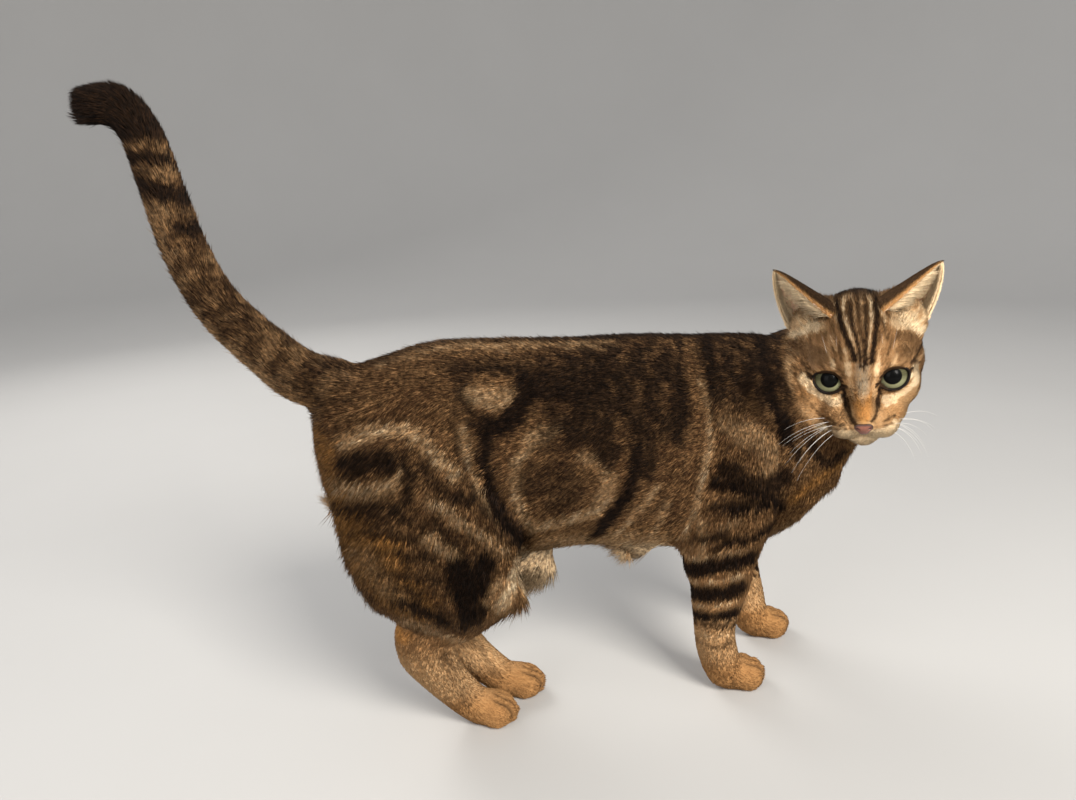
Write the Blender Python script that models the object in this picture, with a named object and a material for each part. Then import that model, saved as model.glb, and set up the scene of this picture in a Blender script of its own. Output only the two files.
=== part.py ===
"""A standing European Shorthair cat, life size, looking back over its right side with its tail raised.

Metres, +Z up. The body runs along X with the chest at +X, and the cat's left side is at +Y. The floor is
z = 0 and the middle of the whole animal's box is at x = y = 0. Every surface is the outside of the coat.
"""

import math

import bmesh
import bpy
import numpy as np
from mathutils import Matrix, Vector

# Driving sizes
GAP = 0.0003
GROWTH = 1.3
VOXEL = 0.0026
SOFTENING = 6
FINE_TRIANGLES = 11000
COARSE_TRIANGLES = 5000
RING_SIDES = 28
STEPS = 6
CAP_ANGLES = (25, 50, 70, 84)
CAP_REACH = 0.6

# Torso: place along the body, height of the back, height of the belly, half width
TORSO = (
    (-0.179, 0.245, 0.150, 0.033),
    (-0.152, 0.252, 0.134, 0.043),
    (-0.118, 0.258, 0.120, 0.047),
    (-0.078, 0.256, 0.113, 0.047),
    (-0.034, 0.252, 0.111, 0.050),
    (0.006, 0.250, 0.103, 0.052),
    (0.046, 0.246, 0.096, 0.049),
    (0.082, 0.243, 0.093, 0.045),
    (0.112, 0.237, 0.100, 0.040),
    (0.136, 0.224, 0.116, 0.033),
)
BELLY_FULLNESS = 0.13

# Limbs: centre of each section, half size fore and aft, half size side to side
NECK = (
    (0.078, 0.000, 0.188, 0.050, 0.045),
    (0.108, 0.001, 0.192, 0.047, 0.043),
    (0.134, -0.002, 0.202, 0.043, 0.038),
    (0.149, -0.012, 0.2085, 0.0400, 0.034),
    (0.153, -0.022, 0.210, 0.036, 0.033),
)
CHEST = (
    (0.096, 0.000, 0.143, 0.043, 0.040),
    (0.119, 0.000, 0.153, 0.037, 0.034),
    (0.136, -0.005, 0.176, 0.032, 0.031),
)
RIGHT_FORELEG = (
    (0.064, -0.026, 0.182, 0.036, 0.024),
    (0.057, -0.032, 0.142, 0.036, 0.024),
    (0.050, -0.034, 0.108, 0.029, 0.021),
    (0.0500, -0.033, 0.085, 0.0222, 0.0175),
    (0.0487, -0.031, 0.067, 0.0184, 0.0152),
    (0.0475, -0.030, 0.051, 0.0149, 0.0136),
    (0.0488, -0.0285, 0.036, 0.0143, 0.0132),
    (0.0520, -0.0285, 0.022, 0.0140, 0.0132),
    (0.0560, -0.0290, 0.011, 0.0130, 0.0126),
)
LEFT_FORELEG = (
    (0.072, 0.026, 0.180, 0.036, 0.024),
    (0.076, 0.032, 0.142, 0.036, 0.024),
    (0.080, 0.034, 0.108, 0.029, 0.021),
    (0.0870, 0.033, 0.085, 0.0222, 0.0175),
    (0.0925, 0.031, 0.067, 0.0184, 0.0152),
    (0.0970, 0.030, 0.051, 0.0149, 0.0136),
    (0.1000, 0.0285, 0.036, 0.0143, 0.0132),
    (0.1020, 0.0265, 0.022, 0.0140, 0.0132),
    (0.1050, 0.0250, 0.011, 0.0130, 0.0126),
)
RIGHT_THIGH = (
    (-0.143, -0.022, 0.204, 0.045, 0.026),
    (-0.141, -0.030, 0.174, 0.051, 0.027),
    (-0.1325, -0.035, 0.144, 0.0545, 0.025),
    (-0.1200, -0.036, 0.118, 0.0475, 0.022),
    (-0.108, -0.035, 0.101, 0.030, 0.019),
)
LEFT_THIGH = (
    (-0.142, 0.022, 0.204, 0.044, 0.026),
    (-0.137, 0.030, 0.174, 0.050, 0.027),
    (-0.126, 0.035, 0.144, 0.054, 0.025),
    (-0.113, 0.036, 0.118, 0.047, 0.022),
    (-0.100, 0.035, 0.101, 0.030, 0.019),
)
RIGHT_SHANK = (
    (-0.100, -0.036, 0.116, 0.027, 0.019),
    (-0.122, -0.032, 0.098, 0.0245, 0.0175),
    (-0.141, -0.025, 0.083, 0.0215, 0.0155),
    (-0.1445, -0.0200, 0.065, 0.0195, 0.0142),
    (-0.1395, -0.0160, 0.049, 0.0164, 0.0132),
    (-0.1315, -0.0125, 0.033, 0.0140, 0.0126),
    (-0.1210, -0.0110, 0.018, 0.0128, 0.0120),
    (-0.1120, -0.0130, 0.009, 0.0115, 0.0116),
)
LEFT_SHANK = (
    (-0.094, 0.036, 0.116, 0.027, 0.019),
    (-0.114, 0.033, 0.096, 0.0245, 0.0175),
    (-0.130, 0.028, 0.078, 0.0200, 0.0155),
    (-0.1290, 0.0235, 0.058, 0.0180, 0.0142),
    (-0.1195, 0.0195, 0.042, 0.0155, 0.0132),
    (-0.1080, 0.0155, 0.028, 0.0136, 0.0124),
    (-0.0970, 0.0128, 0.017, 0.0126, 0.0118),
    (-0.0890, 0.0110, 0.009, 0.0112, 0.0116),
)
TAIL = (
    (-0.150, 0.000, 0.218, 0.026, 0.024),
    (-0.178, 0.000, 0.232, 0.0210, 0.0205),
    (-0.1975, 0.001, 0.2425, 0.0178, 0.0178),
    (-0.2145, 0.003, 0.2580, 0.0163, 0.0163),
    (-0.2335, 0.005, 0.2800, 0.0150, 0.0150),
    (-0.2440, 0.006, 0.2980, 0.0144, 0.0144),
    (-0.2515, 0.006, 0.3190, 0.0140, 0.0140),
    (-0.2560, 0.005, 0.3420, 0.0133, 0.0133),
    (-0.2595, 0.003, 0.3640, 0.0127, 0.0127),
    (-0.2630, 0.000, 0.3820, 0.0122, 0.0122),
    (-0.2710, -0.004, 0.3945, 0.0124, 0.0122),
    (-0.2845, -0.008, 0.3950, 0.0112, 0.0106),
)

# Paws: middle of the palm on the floor, direction of the toes, toe size
PAW_TURN = {"fore_right": -4, "fore_left": -8, "hind_right": -25, "hind_left": -18}
PAW_PLACE = {
    "fore_right": (0.0620, -0.0290),
    "fore_left": (0.1110, 0.0245),
    "hind_right": (-0.1095, -0.0135),
    "hind_left": (-0.0850, 0.0110),
}
PALM = (0.0170, 0.0124, 0.0125)
PALM_HEIGHT = 0.0103
TOE = (0.0100, 0.0052, 0.0098)
TOE_HEIGHT = 0.0086
TOE_REACH = (0.0080, 0.0125, 0.0125, 0.0080)
TOE_SPREAD = {"fore": 0.0063, "hind": 0.0054}

# Fur that hangs below the belly: between the thighs, and behind the elbows
BELLY_FUR = {
    "groin_fur": ((-0.071, -0.002, 0.104), (0.022, 0.016, 0.019)),
    "elbow_fur": ((0.004, -0.012, 0.113), (0.020, 0.014, 0.014)),
}

# Head: where the skull's middle is, and how it is turned, bowed and leaned
HEAD_CENTRE = Vector((0.1470, -0.0330, 0.2185))
HEAD_TURN = -120.5
HEAD_BOW = 20.0
HEAD_LEAN = 5.0

# Forms of the head, in its own frame: forward, left, up. The side ones are made twice.
HEAD_MIDDLE_FORMS = {
    "cranium": ((-0.008, 0, 0.009), (0.038, 0.037, 0.0375)),
    "crown": ((-0.010, 0, 0.024), (0.024, 0.027, 0.0250)),
    "forehead": ((0.007, 0, 0.014), (0.022, 0.024, 0.020)),
    "bridge": ((0.0180, 0, -0.0010), (0.0190, 0.0100, 0.0098)),
    "nose_ridge": ((0.0350, 0, -0.0075), (0.0150, 0.0085, 0.0080)),
    "muzzle": ((0.034, 0, -0.0150), (0.0150, 0.0135, 0.0105)),
    "nose_tip": ((0.0455, 0, -0.0125), (0.0055, 0.0060, 0.0050)),
    "chin": ((0.0345, 0, -0.0282), (0.0100, 0.0095, 0.0075)),
    "jaw": ((0.015, 0, -0.0215), (0.0250, 0.0200, 0.0130)),
}
HEAD_SIDE_FORMS = {
    "brow": ((0.0155, 0.0175, 0.0155), (0.0115, 0.0125, 0.0075)),
    "cheekbone": ((0.0125, 0.0255, -0.0030), (0.0130, 0.0095, 0.0110)),
    "cheek": ((0.003, 0.0195, -0.0075), (0.0255, 0.0175, 0.0195)),
    "ruff": ((-0.011, 0.0250, -0.0020), (0.0230, 0.0155, 0.0225)),
    "whisker_pad": ((0.0358, 0.0110, -0.0182), (0.0128, 0.0108, 0.0096)),
    "ear_root": ((-0.013, 0.0290, 0.0215), (0.0135, 0.0130, 0.0180)),
    "ear_back": ((-0.015, 0.0225, 0.0325), (0.0105, 0.0120, 0.0110)),
}
HEAD_CELL_CENTRE = (0.004, 0, 0.001)
HEAD_CELL_RADIUS = 0.0535

# Eyes
EYE_PLACE = (0.0169, 0.0178, 0.0032)
EYE_RADIUS = 0.0106
LID_THICKNESS = 0.0015
EYE_TURN_OUT = 8.0
EYE_TURN_UP = 18.0
EYE_OPENING = (0.0096, 0.0072)
OPENING_DEPTHS = (0.0025, 0.030)
OPENING_POINTS = 32
OPENING_POINTEDNESS = 1.35
EYE_SLANT = 14.0

# Nose and mouth
NOSE_PLACE = (0.0510, 0, -0.0128)
NOSE_SIZE = (0.0058, 0.0068, 0.0050)
NOSTRIL_PLACE = (0.0500, 0.0034, -0.0132)
NOSTRIL_SIZE = (0.0030, 0.0011, 0.0013)
MOUTH = ((0.0490, 0.0, -0.0185), (0.0470, 0.0, -0.0235), (0.0430, 0.0075, -0.0268),
         (0.0350, 0.0140, -0.0265), (0.0250, 0.0190, -0.0235))
MOUTH_RADIUS = 0.0008

# Ears
EAR_ROOT = (-0.0120, 0.0270, 0.0300)
EAR_TIPS = {-1: (-0.0180, -0.0480, 0.0655), 1: (-0.0180, 0.0494, 0.0600)}
EAR_OPENING = (0.75, 0.66, -0.10)
EAR_HALF_WIDTH = 0.0231
EAR_DEPTH = 0.0155
EAR_WALL = 0.0021
EAR_WRAP = 104.0
EAR_SUNK = 0.17
EAR_TOP = 0.985
EAR_TAPER = 0.66
EAR_THINNING = 0.45
EAR_SECTIONS = 13
EAR_ARC_POINTS = 15
EAR_INNER_ARC = 0.97
EAR_TIP_HALF_WIDTHS = (0.0004, 0.0003)

# Where the nodes are parted: tail in its own stations, paws by height, the rest by tilted planes and blocks
TAIL_PARTS = (("tail_tip", 9.4), ("tail_upper", 6.6), ("tail_middle", 4.2), ("tail_base", 1.5))
PAW_TOP = 0.0235
ELBOW_HEIGHT = 0.096
UPPER_ARM_LOW = (-0.040, 0.0165, 0.080)
UPPER_ARM_HIGH = (0.043, 0.080, 0.182)
UPPER_ARM_PLACE = {-1: 0.055, 1: 0.075}
SHANK_FRAME = ((-0.120, 0.0, 0.098), 116.7)
THIGH_FRAME = ((-0.130, 0.0, 0.164), 30.0)
NECK_FRAME = ((0.122, 0.0, 0.190), -42.0)
TAIL_CELL = ((0, -0.09, -0.09), (0.30, 0.09, 0.09))
SHANK_CELL = ((0, -0.1, -0.1), (0.2, 0.1, 0.1))
THIGH_CELL = ((-0.12, 0.011, -0.15), (0.078, 0.09, 0))
NECK_CELL = ((0, -0.1, -0.09), (0.12, 0.1, 0.09))

SIDE_NAMES = {-1: "right", 1: "left"}

# Colours of the coat's regions
BROWN = (0.160, 0.105, 0.062)
DARK = (0.035, 0.024, 0.017)
TAN = (0.420, 0.280, 0.150)
NOSE_RED = (0.420, 0.150, 0.110)
EYE_GREEN = (0.330, 0.360, 0.130)


def clear_scene():
    for obj in list(bpy.data.objects):
        bpy.data.objects.remove(obj, do_unlink=True)


def material(name, colour, roughness=0.85):
    made = bpy.data.materials.new(name)
    made.use_nodes = True
    shader = made.node_tree.nodes["Principled BSDF"]
    shader.inputs["Base Color"].default_value = (*colour, 1.0)
    shader.inputs["Roughness"].default_value = roughness
    shader.inputs["Metallic"].default_value = 0.0
    return made


def mesh_object(name, points, faces):
    mesh = bpy.data.meshes.new(name)
    mesh.from_pydata([tuple(map(float, point)) for point in points], [], faces)
    mesh.validate()
    obj = bpy.data.objects.new(name, mesh)
    bpy.context.scene.collection.objects.link(obj)
    return obj


def through(rows, steps=STEPS):
    """Rows read at even steps along a curve that passes through each of them (Catmull-Rom)."""
    rows = np.asarray(rows, float)
    padded = np.vstack([2 * rows[0] - rows[1], rows, 2 * rows[-1] - rows[-2]])
    t = np.linspace(0, 1, steps, endpoint=False)[:, None]
    pieces = []
    for a, b, c, d in zip(padded[:-3], padded[1:-2], padded[2:-1], padded[3:]):
        pieces.append(0.5 * (2 * b + (c - a) * t + (2 * a - 5 * b + 4 * c - d) * t**2
                             + (3 * b - a - 3 * c + d) * t**3))
    return np.vstack([*pieces, rows[-1:]])


def domed(rows):
    """The rows with a rounded cap of four sections added before the first and after the last."""
    def cap(end, inner):
        outward = end[:3] - inner[:3]
        outward /= np.linalg.norm(outward)
        reach = CAP_REACH * min(end[3], end[4])
        made = []
        for angle in np.radians(CAP_ANGLES):
            section = end.copy()
            section[:3] += outward * reach * math.sin(angle)
            section[3:] *= math.cos(angle)
            made.append(section)
        return made
    return np.vstack([cap(rows[0], rows[1])[::-1], rows, cap(rows[-1], rows[-2])])


def ring_faces(rings, sides):
    faces = []
    for ring in range(rings - 1):
        for side in range(sides):
            after = (side + 1) % sides
            low = ring * sides
            faces.append((low + side, low + after, low + sides + after, low + sides + side))
    faces.append(tuple(range(sides))[::-1])
    faces.append(tuple((rings - 1) * sides + side for side in range(sides)))
    return faces


def outward(obj):
    mesh = bmesh.new()
    mesh.from_mesh(obj.data)
    bmesh.ops.recalc_face_normals(mesh, faces=mesh.faces)
    mesh.to_mesh(obj.data)
    mesh.free()
    return obj


def tube(name, stations, sides=RING_SIDES, steps=STEPS):
    """Oval sections square to a smooth path, the second half size lying along Y."""
    rows = domed(through(stations, steps))
    centres = rows[:, :3]
    along = np.gradient(centres, axis=0)
    along /= np.linalg.norm(along, axis=1)[:, None]
    side = np.array([0.0, 1.0, 0.0]) - along * along[:, 1:2]
    side /= np.linalg.norm(side, axis=1)[:, None]
    fore = np.cross(along, side)
    angle = np.linspace(0, 2 * math.pi, sides, endpoint=False)
    points = (centres[:, None]
              + rows[:, 3, None, None] * np.cos(angle)[None, :, None] * fore[:, None]
              + rows[:, 4, None, None] * np.sin(angle)[None, :, None] * side[:, None])
    return outward(mesh_object(name, points.reshape(-1, 3), ring_faces(len(rows), sides)))


def torso():
    """Upright sections, narrow along the spine and fuller below, between the back and the belly."""
    rows = [(x, 0.0, (top + low) / 2, (top - low) / 2, half) for x, top, low, half in TORSO]
    rows = domed(through(rows))
    angle = np.linspace(0, 2 * math.pi, RING_SIDES, endpoint=False)
    width = np.cos(angle) * (1 - BELLY_FULLNESS * np.sin(angle))
    points = np.stack([
        np.repeat(rows[:, :1], RING_SIDES, axis=1),
        rows[:, 1:2] + rows[:, 4:5] * width,
        rows[:, 2:3] + rows[:, 3:4] * np.sin(angle),
    ], axis=2)
    return outward(mesh_object("torso_form", points.reshape(-1, 3), ring_faces(len(rows), RING_SIDES)))


def ball(name, centre, radii, frame=Matrix.Identity(4), segments=24):
    mesh = bmesh.new()
    bmesh.ops.create_uvsphere(mesh, u_segments=segments, v_segments=segments * 2 // 3, radius=1.0)
    place = frame @ Matrix.Translation(centre) @ Matrix.Diagonal((*radii, 1.0))
    bmesh.ops.transform(mesh, matrix=place, verts=mesh.verts)
    data = bpy.data.meshes.new(name)
    mesh.to_mesh(data)
    mesh.free()
    obj = bpy.data.objects.new(name, data)
    bpy.context.scene.collection.objects.link(obj)
    return obj


def block(name, low, high, frame=Matrix.Identity(4)):
    mesh = bmesh.new()
    bmesh.ops.create_cube(mesh, size=1.0)
    size = Vector(high) - Vector(low)
    place = frame @ Matrix.Translation((Vector(low) + Vector(high)) / 2) @ Matrix.Diagonal((*size, 1.0))
    bmesh.ops.transform(mesh, matrix=place, verts=mesh.verts)
    bmesh.ops.recalc_face_normals(mesh, faces=mesh.faces)
    data = bpy.data.meshes.new(name)
    mesh.to_mesh(data)
    mesh.free()
    obj = bpy.data.objects.new(name, data)
    bpy.context.scene.collection.objects.link(obj)
    return obj


def mirrored(values, side):
    return (values[0], values[1] * side, values[2])


def head_frame():
    """The skull's own frame: X out of the nose, Y to the cat's left, Z out of the crown."""
    turn = math.radians(HEAD_TURN)
    bow = math.radians(HEAD_BOW)
    lean = math.radians(HEAD_LEAN)
    forward = Vector((math.cos(turn) * math.cos(bow), math.sin(turn) * math.cos(bow), -math.sin(bow)))
    level = Vector((-math.sin(turn), math.cos(turn), 0))
    left = level * math.cos(lean) + forward.cross(level) * math.sin(lean)
    up = forward.cross(left)
    axes = Matrix((forward, left, up)).transposed().to_4x4()
    return Matrix.Translation(HEAD_CENTRE) @ axes


def paw(name):
    """A palm and four toes, the middle two reaching further, on the floor."""
    x, y = PAW_PLACE[name]
    spread = TOE_SPREAD[name.split("_")[0]]
    frame = Matrix.Translation((x, y, 0)) @ Matrix.Rotation(math.radians(PAW_TURN[name]), 4, "Z")
    forms = [ball(name, (0, 0, PALM_HEIGHT), PALM, frame)]
    for toe, reach in enumerate(TOE_REACH):
        across = (toe - 1.5) * spread
        forms.append(ball(name, (reach, across, TOE_HEIGHT), TOE, frame))
    return forms


def head_forms():
    frame = head_frame()
    forms = [ball(name, *shape, frame) for name, shape in HEAD_MIDDLE_FORMS.items()]
    for name, (centre, radii) in HEAD_SIDE_FORMS.items():
        forms += [ball(name, mirrored(centre, side), radii, frame) for side in (-1, 1)]
    return forms


def all_forms():
    forms = [torso(), tube("neck_form", NECK), tube("chest_form", CHEST), tube("tail_form", TAIL)]
    legs = (RIGHT_FORELEG, LEFT_FORELEG, RIGHT_THIGH, LEFT_THIGH, RIGHT_SHANK, LEFT_SHANK)
    forms += [tube("leg_form", leg) for leg in legs]
    for name in PAW_PLACE:
        forms += paw(name)
    forms += [ball(name, *shape) for name, shape in BELLY_FUR.items()]
    return forms + head_forms()


def evaluated(obj):
    """The object with its modifiers applied."""
    bpy.context.view_layer.update()
    graph = bpy.context.evaluated_depsgraph_get()
    mesh = bpy.data.meshes.new_from_object(obj.evaluated_get(graph))
    obj.modifiers.clear()
    obj.data = mesh
    return obj


def copied(obj):
    made = obj.copy()
    made.data = obj.data.copy()
    bpy.context.scene.collection.objects.link(made)
    return made


def joined(forms):
    mesh = bmesh.new()
    for form in forms:
        mesh.from_mesh(form.data)
        bpy.data.objects.remove(form)
    data = bpy.data.meshes.new("forms")
    mesh.to_mesh(data)
    mesh.free()
    obj = bpy.data.objects.new("forms", data)
    bpy.context.scene.collection.objects.link(obj)
    return obj


def fused(forms):
    """All forms as one closed surface, its creases softened."""
    obj = joined(forms)
    remesh = obj.modifiers.new("fuse", "REMESH")
    remesh.mode = "VOXEL"
    remesh.voxel_size = VOXEL
    soften = obj.modifiers.new("soften", "SMOOTH")
    soften.factor = 0.5
    soften.iterations = SOFTENING
    return evaluated(obj)


def simplified(obj, triangles):
    made = copied(obj)
    count = sum(len(face.vertices) - 2 for face in made.data.polygons)
    fewer = made.modifiers.new("fewer", "DECIMATE")
    fewer.ratio = triangles / count
    fewer.use_collapse_triangulate = True
    return evaluated(made)


def closed_surfaces(mesh):
    """The sets of points that hang together, from the fewest points to the most."""
    left = set(mesh.verts)
    surfaces = []
    while left:
        found = set()
        edge = [left.pop()]
        while edge:
            point = edge.pop()
            found.add(point)
            for other in (link.other_vert(point) for link in point.link_edges):
                if other in left:
                    left.remove(other)
                    edge.append(other)
        surfaces.append(found)
    return sorted(surfaces, key=len)


def keep_surface(obj, choose):
    """Leaves only the closed surface that the function chooses."""
    mesh = bmesh.new()
    mesh.from_mesh(obj.data)
    surfaces = closed_surfaces(mesh)
    chosen = choose(surfaces)
    for surface in surfaces:
        if surface is not chosen:
            bmesh.ops.delete(mesh, geom=list(surface), context="VERTS")
    mesh.to_mesh(obj.data)
    mesh.free()
    return obj


def keep_largest(obj):
    return keep_surface(obj, lambda surfaces: surfaces[-1])


def keep_nearest(obj, place):
    def distance(surface):
        return (sum((point.co for point in surface), Vector()) / len(surface) - place).length
    return keep_surface(obj, lambda surfaces: min(surfaces, key=distance))


def combined(obj, other, operation):
    boolean = obj.modifiers.new(operation, "BOOLEAN")
    boolean.operation = operation
    boolean.object = other
    boolean.solver = "EXACT"
    evaluated(obj)
    bpy.data.objects.remove(other)
    return obj


def cut_frame(stations, at):
    """X runs on along the limb from this point of its stations, and Y to the cat's left."""
    rows = through(stations)
    step = int(at * STEPS)
    along = Vector(rows[step + 1, :3] - rows[step - 1, :3]).normalized()
    side = (Vector((0, 1, 0)) - along * along.y).normalized()
    axes = Matrix((along, side, along.cross(side))).transposed().to_4x4()
    return Matrix.Translation(rows[step, :3]) @ axes


def tilted_frame(place, angle):
    return Matrix.Translation(place) @ Matrix.Rotation(math.radians(angle), 4, "Y")


def block_cell(low, high, frame):
    """Makes a block that is wider all round by a margin."""
    def cell(margin):
        spread = Vector((margin, margin, margin))
        return block("cell", Vector(low) - spread, Vector(high) + spread, frame)
    return cell


def ball_cell(centre, radii, frame, segments):
    def cell(margin):
        return ball("cell", centre, [radius + margin for radius in radii], frame, segments)
    return cell


def parted(body, name, cell, fine=None):
    """Splits what lies in the cell off the body, or off a finer copy of it, with a gap between."""
    piece = combined(copied(fine or body), cell(0.0), "INTERSECT")
    piece.name = name
    combined(body, cell(GAP), "DIFFERENCE")
    keep_largest(body)
    return keep_largest(piece)


def parted_limbs(body, places, cell):
    """Splits off several limbs with one cell. Each name takes the closed surface nearest to its place."""
    cut = combined(copied(body), cell(0.0), "INTERSECT")
    combined(body, cell(GAP), "DIFFERENCE")
    keep_largest(body)
    limbs = []
    for name, place in places.items():
        limb = keep_nearest(copied(cut), Vector(place))
        limb.name = name
        limbs.append(limb)
    bpy.data.objects.remove(cut)
    return limbs


def tail_nodes(body):
    nodes = []
    for name, at in TAIL_PARTS:
        cell = block_cell(*TAIL_CELL, cut_frame(TAIL, at))
        nodes.append(parted(body, name, cell))
    return nodes


def paw_nodes(body):
    places = {}
    for name, (x, y) in PAW_PLACE.items():
        end, side = name.split("_")
        places[f"{end}paw_{side}" if end == "fore" else f"hind_paw_{side}"] = (x, y, PALM_HEIGHT)
    return parted_limbs(body, places, block_cell((-1, -1, -1), (1, 1, PAW_TOP), Matrix.Identity(4)))


def leg_nodes(body):
    """Forearms by one level cut, lower hind legs by one tilted cut, then each upper arm and thigh."""
    level = Matrix.Identity(4)
    forearms = {"forearm_right": RIGHT_FORELEG[5][:3], "forearm_left": LEFT_FORELEG[5][:3]}
    nodes = parted_limbs(body, forearms, block_cell((0, -1, -1), (1, 1, ELBOW_HEIGHT), level))
    shanks = {"lower_leg_right": RIGHT_SHANK[3][:3], "lower_leg_left": LEFT_SHANK[3][:3]}
    cell = block_cell(*SHANK_CELL, tilted_frame(*SHANK_FRAME))
    nodes += parted_limbs(body, shanks, cell)
    for side, name in SIDE_NAMES.items():
        flank = Matrix.Diagonal((1, side, 1, 1))
        place = Matrix.Translation((UPPER_ARM_PLACE[side], 0, 0))
        cell = block_cell(UPPER_ARM_LOW, UPPER_ARM_HIGH, place @ flank)
        nodes.append(parted(body, f"upper_arm_{name}", cell))
        hip = tilted_frame(*THIGH_FRAME) @ flank
        nodes.append(parted(body, f"thigh_{name}", block_cell(*THIGH_CELL, hip)))
    return nodes


def eye_frame(side):
    turn = Matrix.Rotation(math.radians(EYE_TURN_OUT * side), 4, "Z")
    raised = Matrix.Rotation(math.radians(-EYE_TURN_UP), 4, "Y")
    slant = Matrix.Rotation(math.radians(EYE_SLANT * side), 4, "X")
    return head_frame() @ Matrix.Translation(mirrored(EYE_PLACE, side)) @ turn @ raised @ slant


def eye_opening(side):
    """An almond prism from inside the eyeball out through the lids."""
    half_width, half_height = EYE_OPENING
    outline = []
    for step in range(OPENING_POINTS):
        angle = 2 * math.pi * step / OPENING_POINTS
        across = half_width * math.cos(angle)
        rise = half_height * math.copysign(abs(math.sin(angle)) ** OPENING_POINTEDNESS, math.sin(angle))
        outline.append((across, rise))
    points = [(depth, across, rise) for depth in OPENING_DEPTHS for across, rise in outline]
    frame = eye_frame(side)
    points = [frame @ Vector(point) for point in points]
    return outward(mesh_object("opening", points, ring_faces(len(OPENING_DEPTHS), OPENING_POINTS)))


def set_eyes(head):
    """Lids that stand over the eyeballs, the sockets behind them, and the two eyes."""
    eyes = []
    for side in (-1, 1):
        frame = eye_frame(side)
        lid = EYE_RADIUS + LID_THICKNESS
        combined(head, ball("lid", (0, 0, 0), (lid, lid, lid), frame, 24), "UNION")
        socket = EYE_RADIUS + GAP
        combined(head, ball("socket", (0, 0, 0), (socket, socket, socket), frame, 20), "DIFFERENCE")
        combined(head, eye_opening(side), "DIFFERENCE")
        eye = ball(f"eye_{SIDE_NAMES[side]}", (0, 0, 0), (EYE_RADIUS,) * 3, frame, 20)
        eyes.append(eye)
    return eyes


def ear(side, neighbours):
    """A cupped wall: its sections are arcs, open to the front and side, narrowing to the tip."""
    frame = head_frame()
    root = np.array(mirrored(EAR_ROOT, side))
    tip = np.array(EAR_TIPS[side])
    opening = np.array(mirrored(EAR_OPENING, side))
    axis = (tip - root) / np.linalg.norm(tip - root)
    opening -= axis * (opening @ axis)
    opening /= np.linalg.norm(opening)
    across = np.cross(axis, opening)
    wrap = math.radians(EAR_WRAP)
    arc = np.linspace(-wrap, wrap, EAR_ARC_POINTS)
    points = []
    heights = np.linspace(-EAR_SUNK, EAR_TOP, EAR_SECTIONS)
    for height in heights:
        narrow = (1 - max(height, 0)) ** EAR_TAPER
        middle = root + (tip - root) * height
        thickness = EAR_WALL * (1 - EAR_THINNING * max(height, 0))
        for wall, angles in ((0.0, arc), (thickness, arc[::-1] * EAR_INNER_ARC)):
            wide = max(EAR_HALF_WIDTH * narrow - wall, EAR_TIP_HALF_WIDTHS[0])
            deep = max(EAR_DEPTH * narrow - wall, EAR_TIP_HALF_WIDTHS[1])
            for angle in angles:
                points.append(middle + across * wide * math.sin(angle) - opening * deep * math.cos(angle))
    points = [frame @ Vector(point) for point in points]
    faces = ring_faces(len(heights), 2 * EAR_ARC_POINTS)
    made = outward(mesh_object(f"ear_{SIDE_NAMES[side]}", points, faces))
    for neighbour in neighbours:
        combined(made, copied(neighbour), "DIFFERENCE")
    return keep_largest(made)


def carve_mouth(head):
    """A groove from under the nose down to the lips and back between them on each side."""
    frame = head_frame()
    for side in (-1, 1):
        rows = []
        for point in MOUTH:
            place = head.closest_point_on_mesh(frame @ Vector(mirrored(point, side)))[1]
            rows.append((*place, MOUTH_RADIUS, MOUTH_RADIUS))
        combined(head, tube("groove", rows, 8, 4), "DIFFERENCE")
        keep_largest(head)


def nose_node(head):
    frame = head_frame()
    nose = parted(head, "nose", ball_cell(NOSE_PLACE, NOSE_SIZE, frame, 24))
    for side in (-1, 1):
        combined(nose, ball("nostril", mirrored(NOSTRIL_PLACE, side), NOSTRIL_SIZE, frame, 12), "DIFFERENCE")
    return keep_largest(nose)


def grown(obj):
    """A copy that stands off the original by the gap."""
    made = copied(obj)
    displace = made.modifiers.new("grow", "DISPLACE")
    displace.strength = GAP * GROWTH
    displace.mid_level = 0.0
    return evaluated(made)


def head_nodes(body, fine):
    radii = (HEAD_CELL_RADIUS,) * 3
    head = parted(body, "head", ball_cell(HEAD_CELL_CENTRE, radii, head_frame(), 40), fine)
    nose = nose_node(head)
    neighbours = [grown(head), grown(body)]
    ears = [ear(side, neighbours) for side in (-1, 1)]
    for neighbour in neighbours:
        bpy.data.objects.remove(neighbour)
    eyes = set_eyes(head)
    carve_mouth(head)
    return [head, nose, *ears, *eyes]


def dress(nodes):
    """One plain colour for each kind of node."""
    colours = {"nose": NOSE_RED, "eye": EYE_GREEN, "tail_tip": DARK, "hind_paw": TAN, "forepaw": TAN}
    made = {}
    for node in nodes:
        kind = next((key for key in colours if node.name.startswith(key)), "coat")
        if kind not in made:
            roughness = 0.15 if kind == "eye" else 0.85
            made[kind] = material(kind, colours.get(kind, BROWN), roughness)
        node.data.materials.clear()
        node.data.materials.append(made[kind])
        node.data.polygons.foreach_set("use_smooth", [True] * len(node.data.polygons))


def centre_on_floor(nodes):
    """Moves everything so that the middle of the whole box is at x = y = 0."""
    corners = np.array([point.co for node in nodes for point in node.data.vertices])
    shift = -(corners.min(axis=0) + corners.max(axis=0)) / 2
    shift[2] = 0
    for node in nodes:
        node.data.transform(Matrix.Translation(shift))
    return shift


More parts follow.
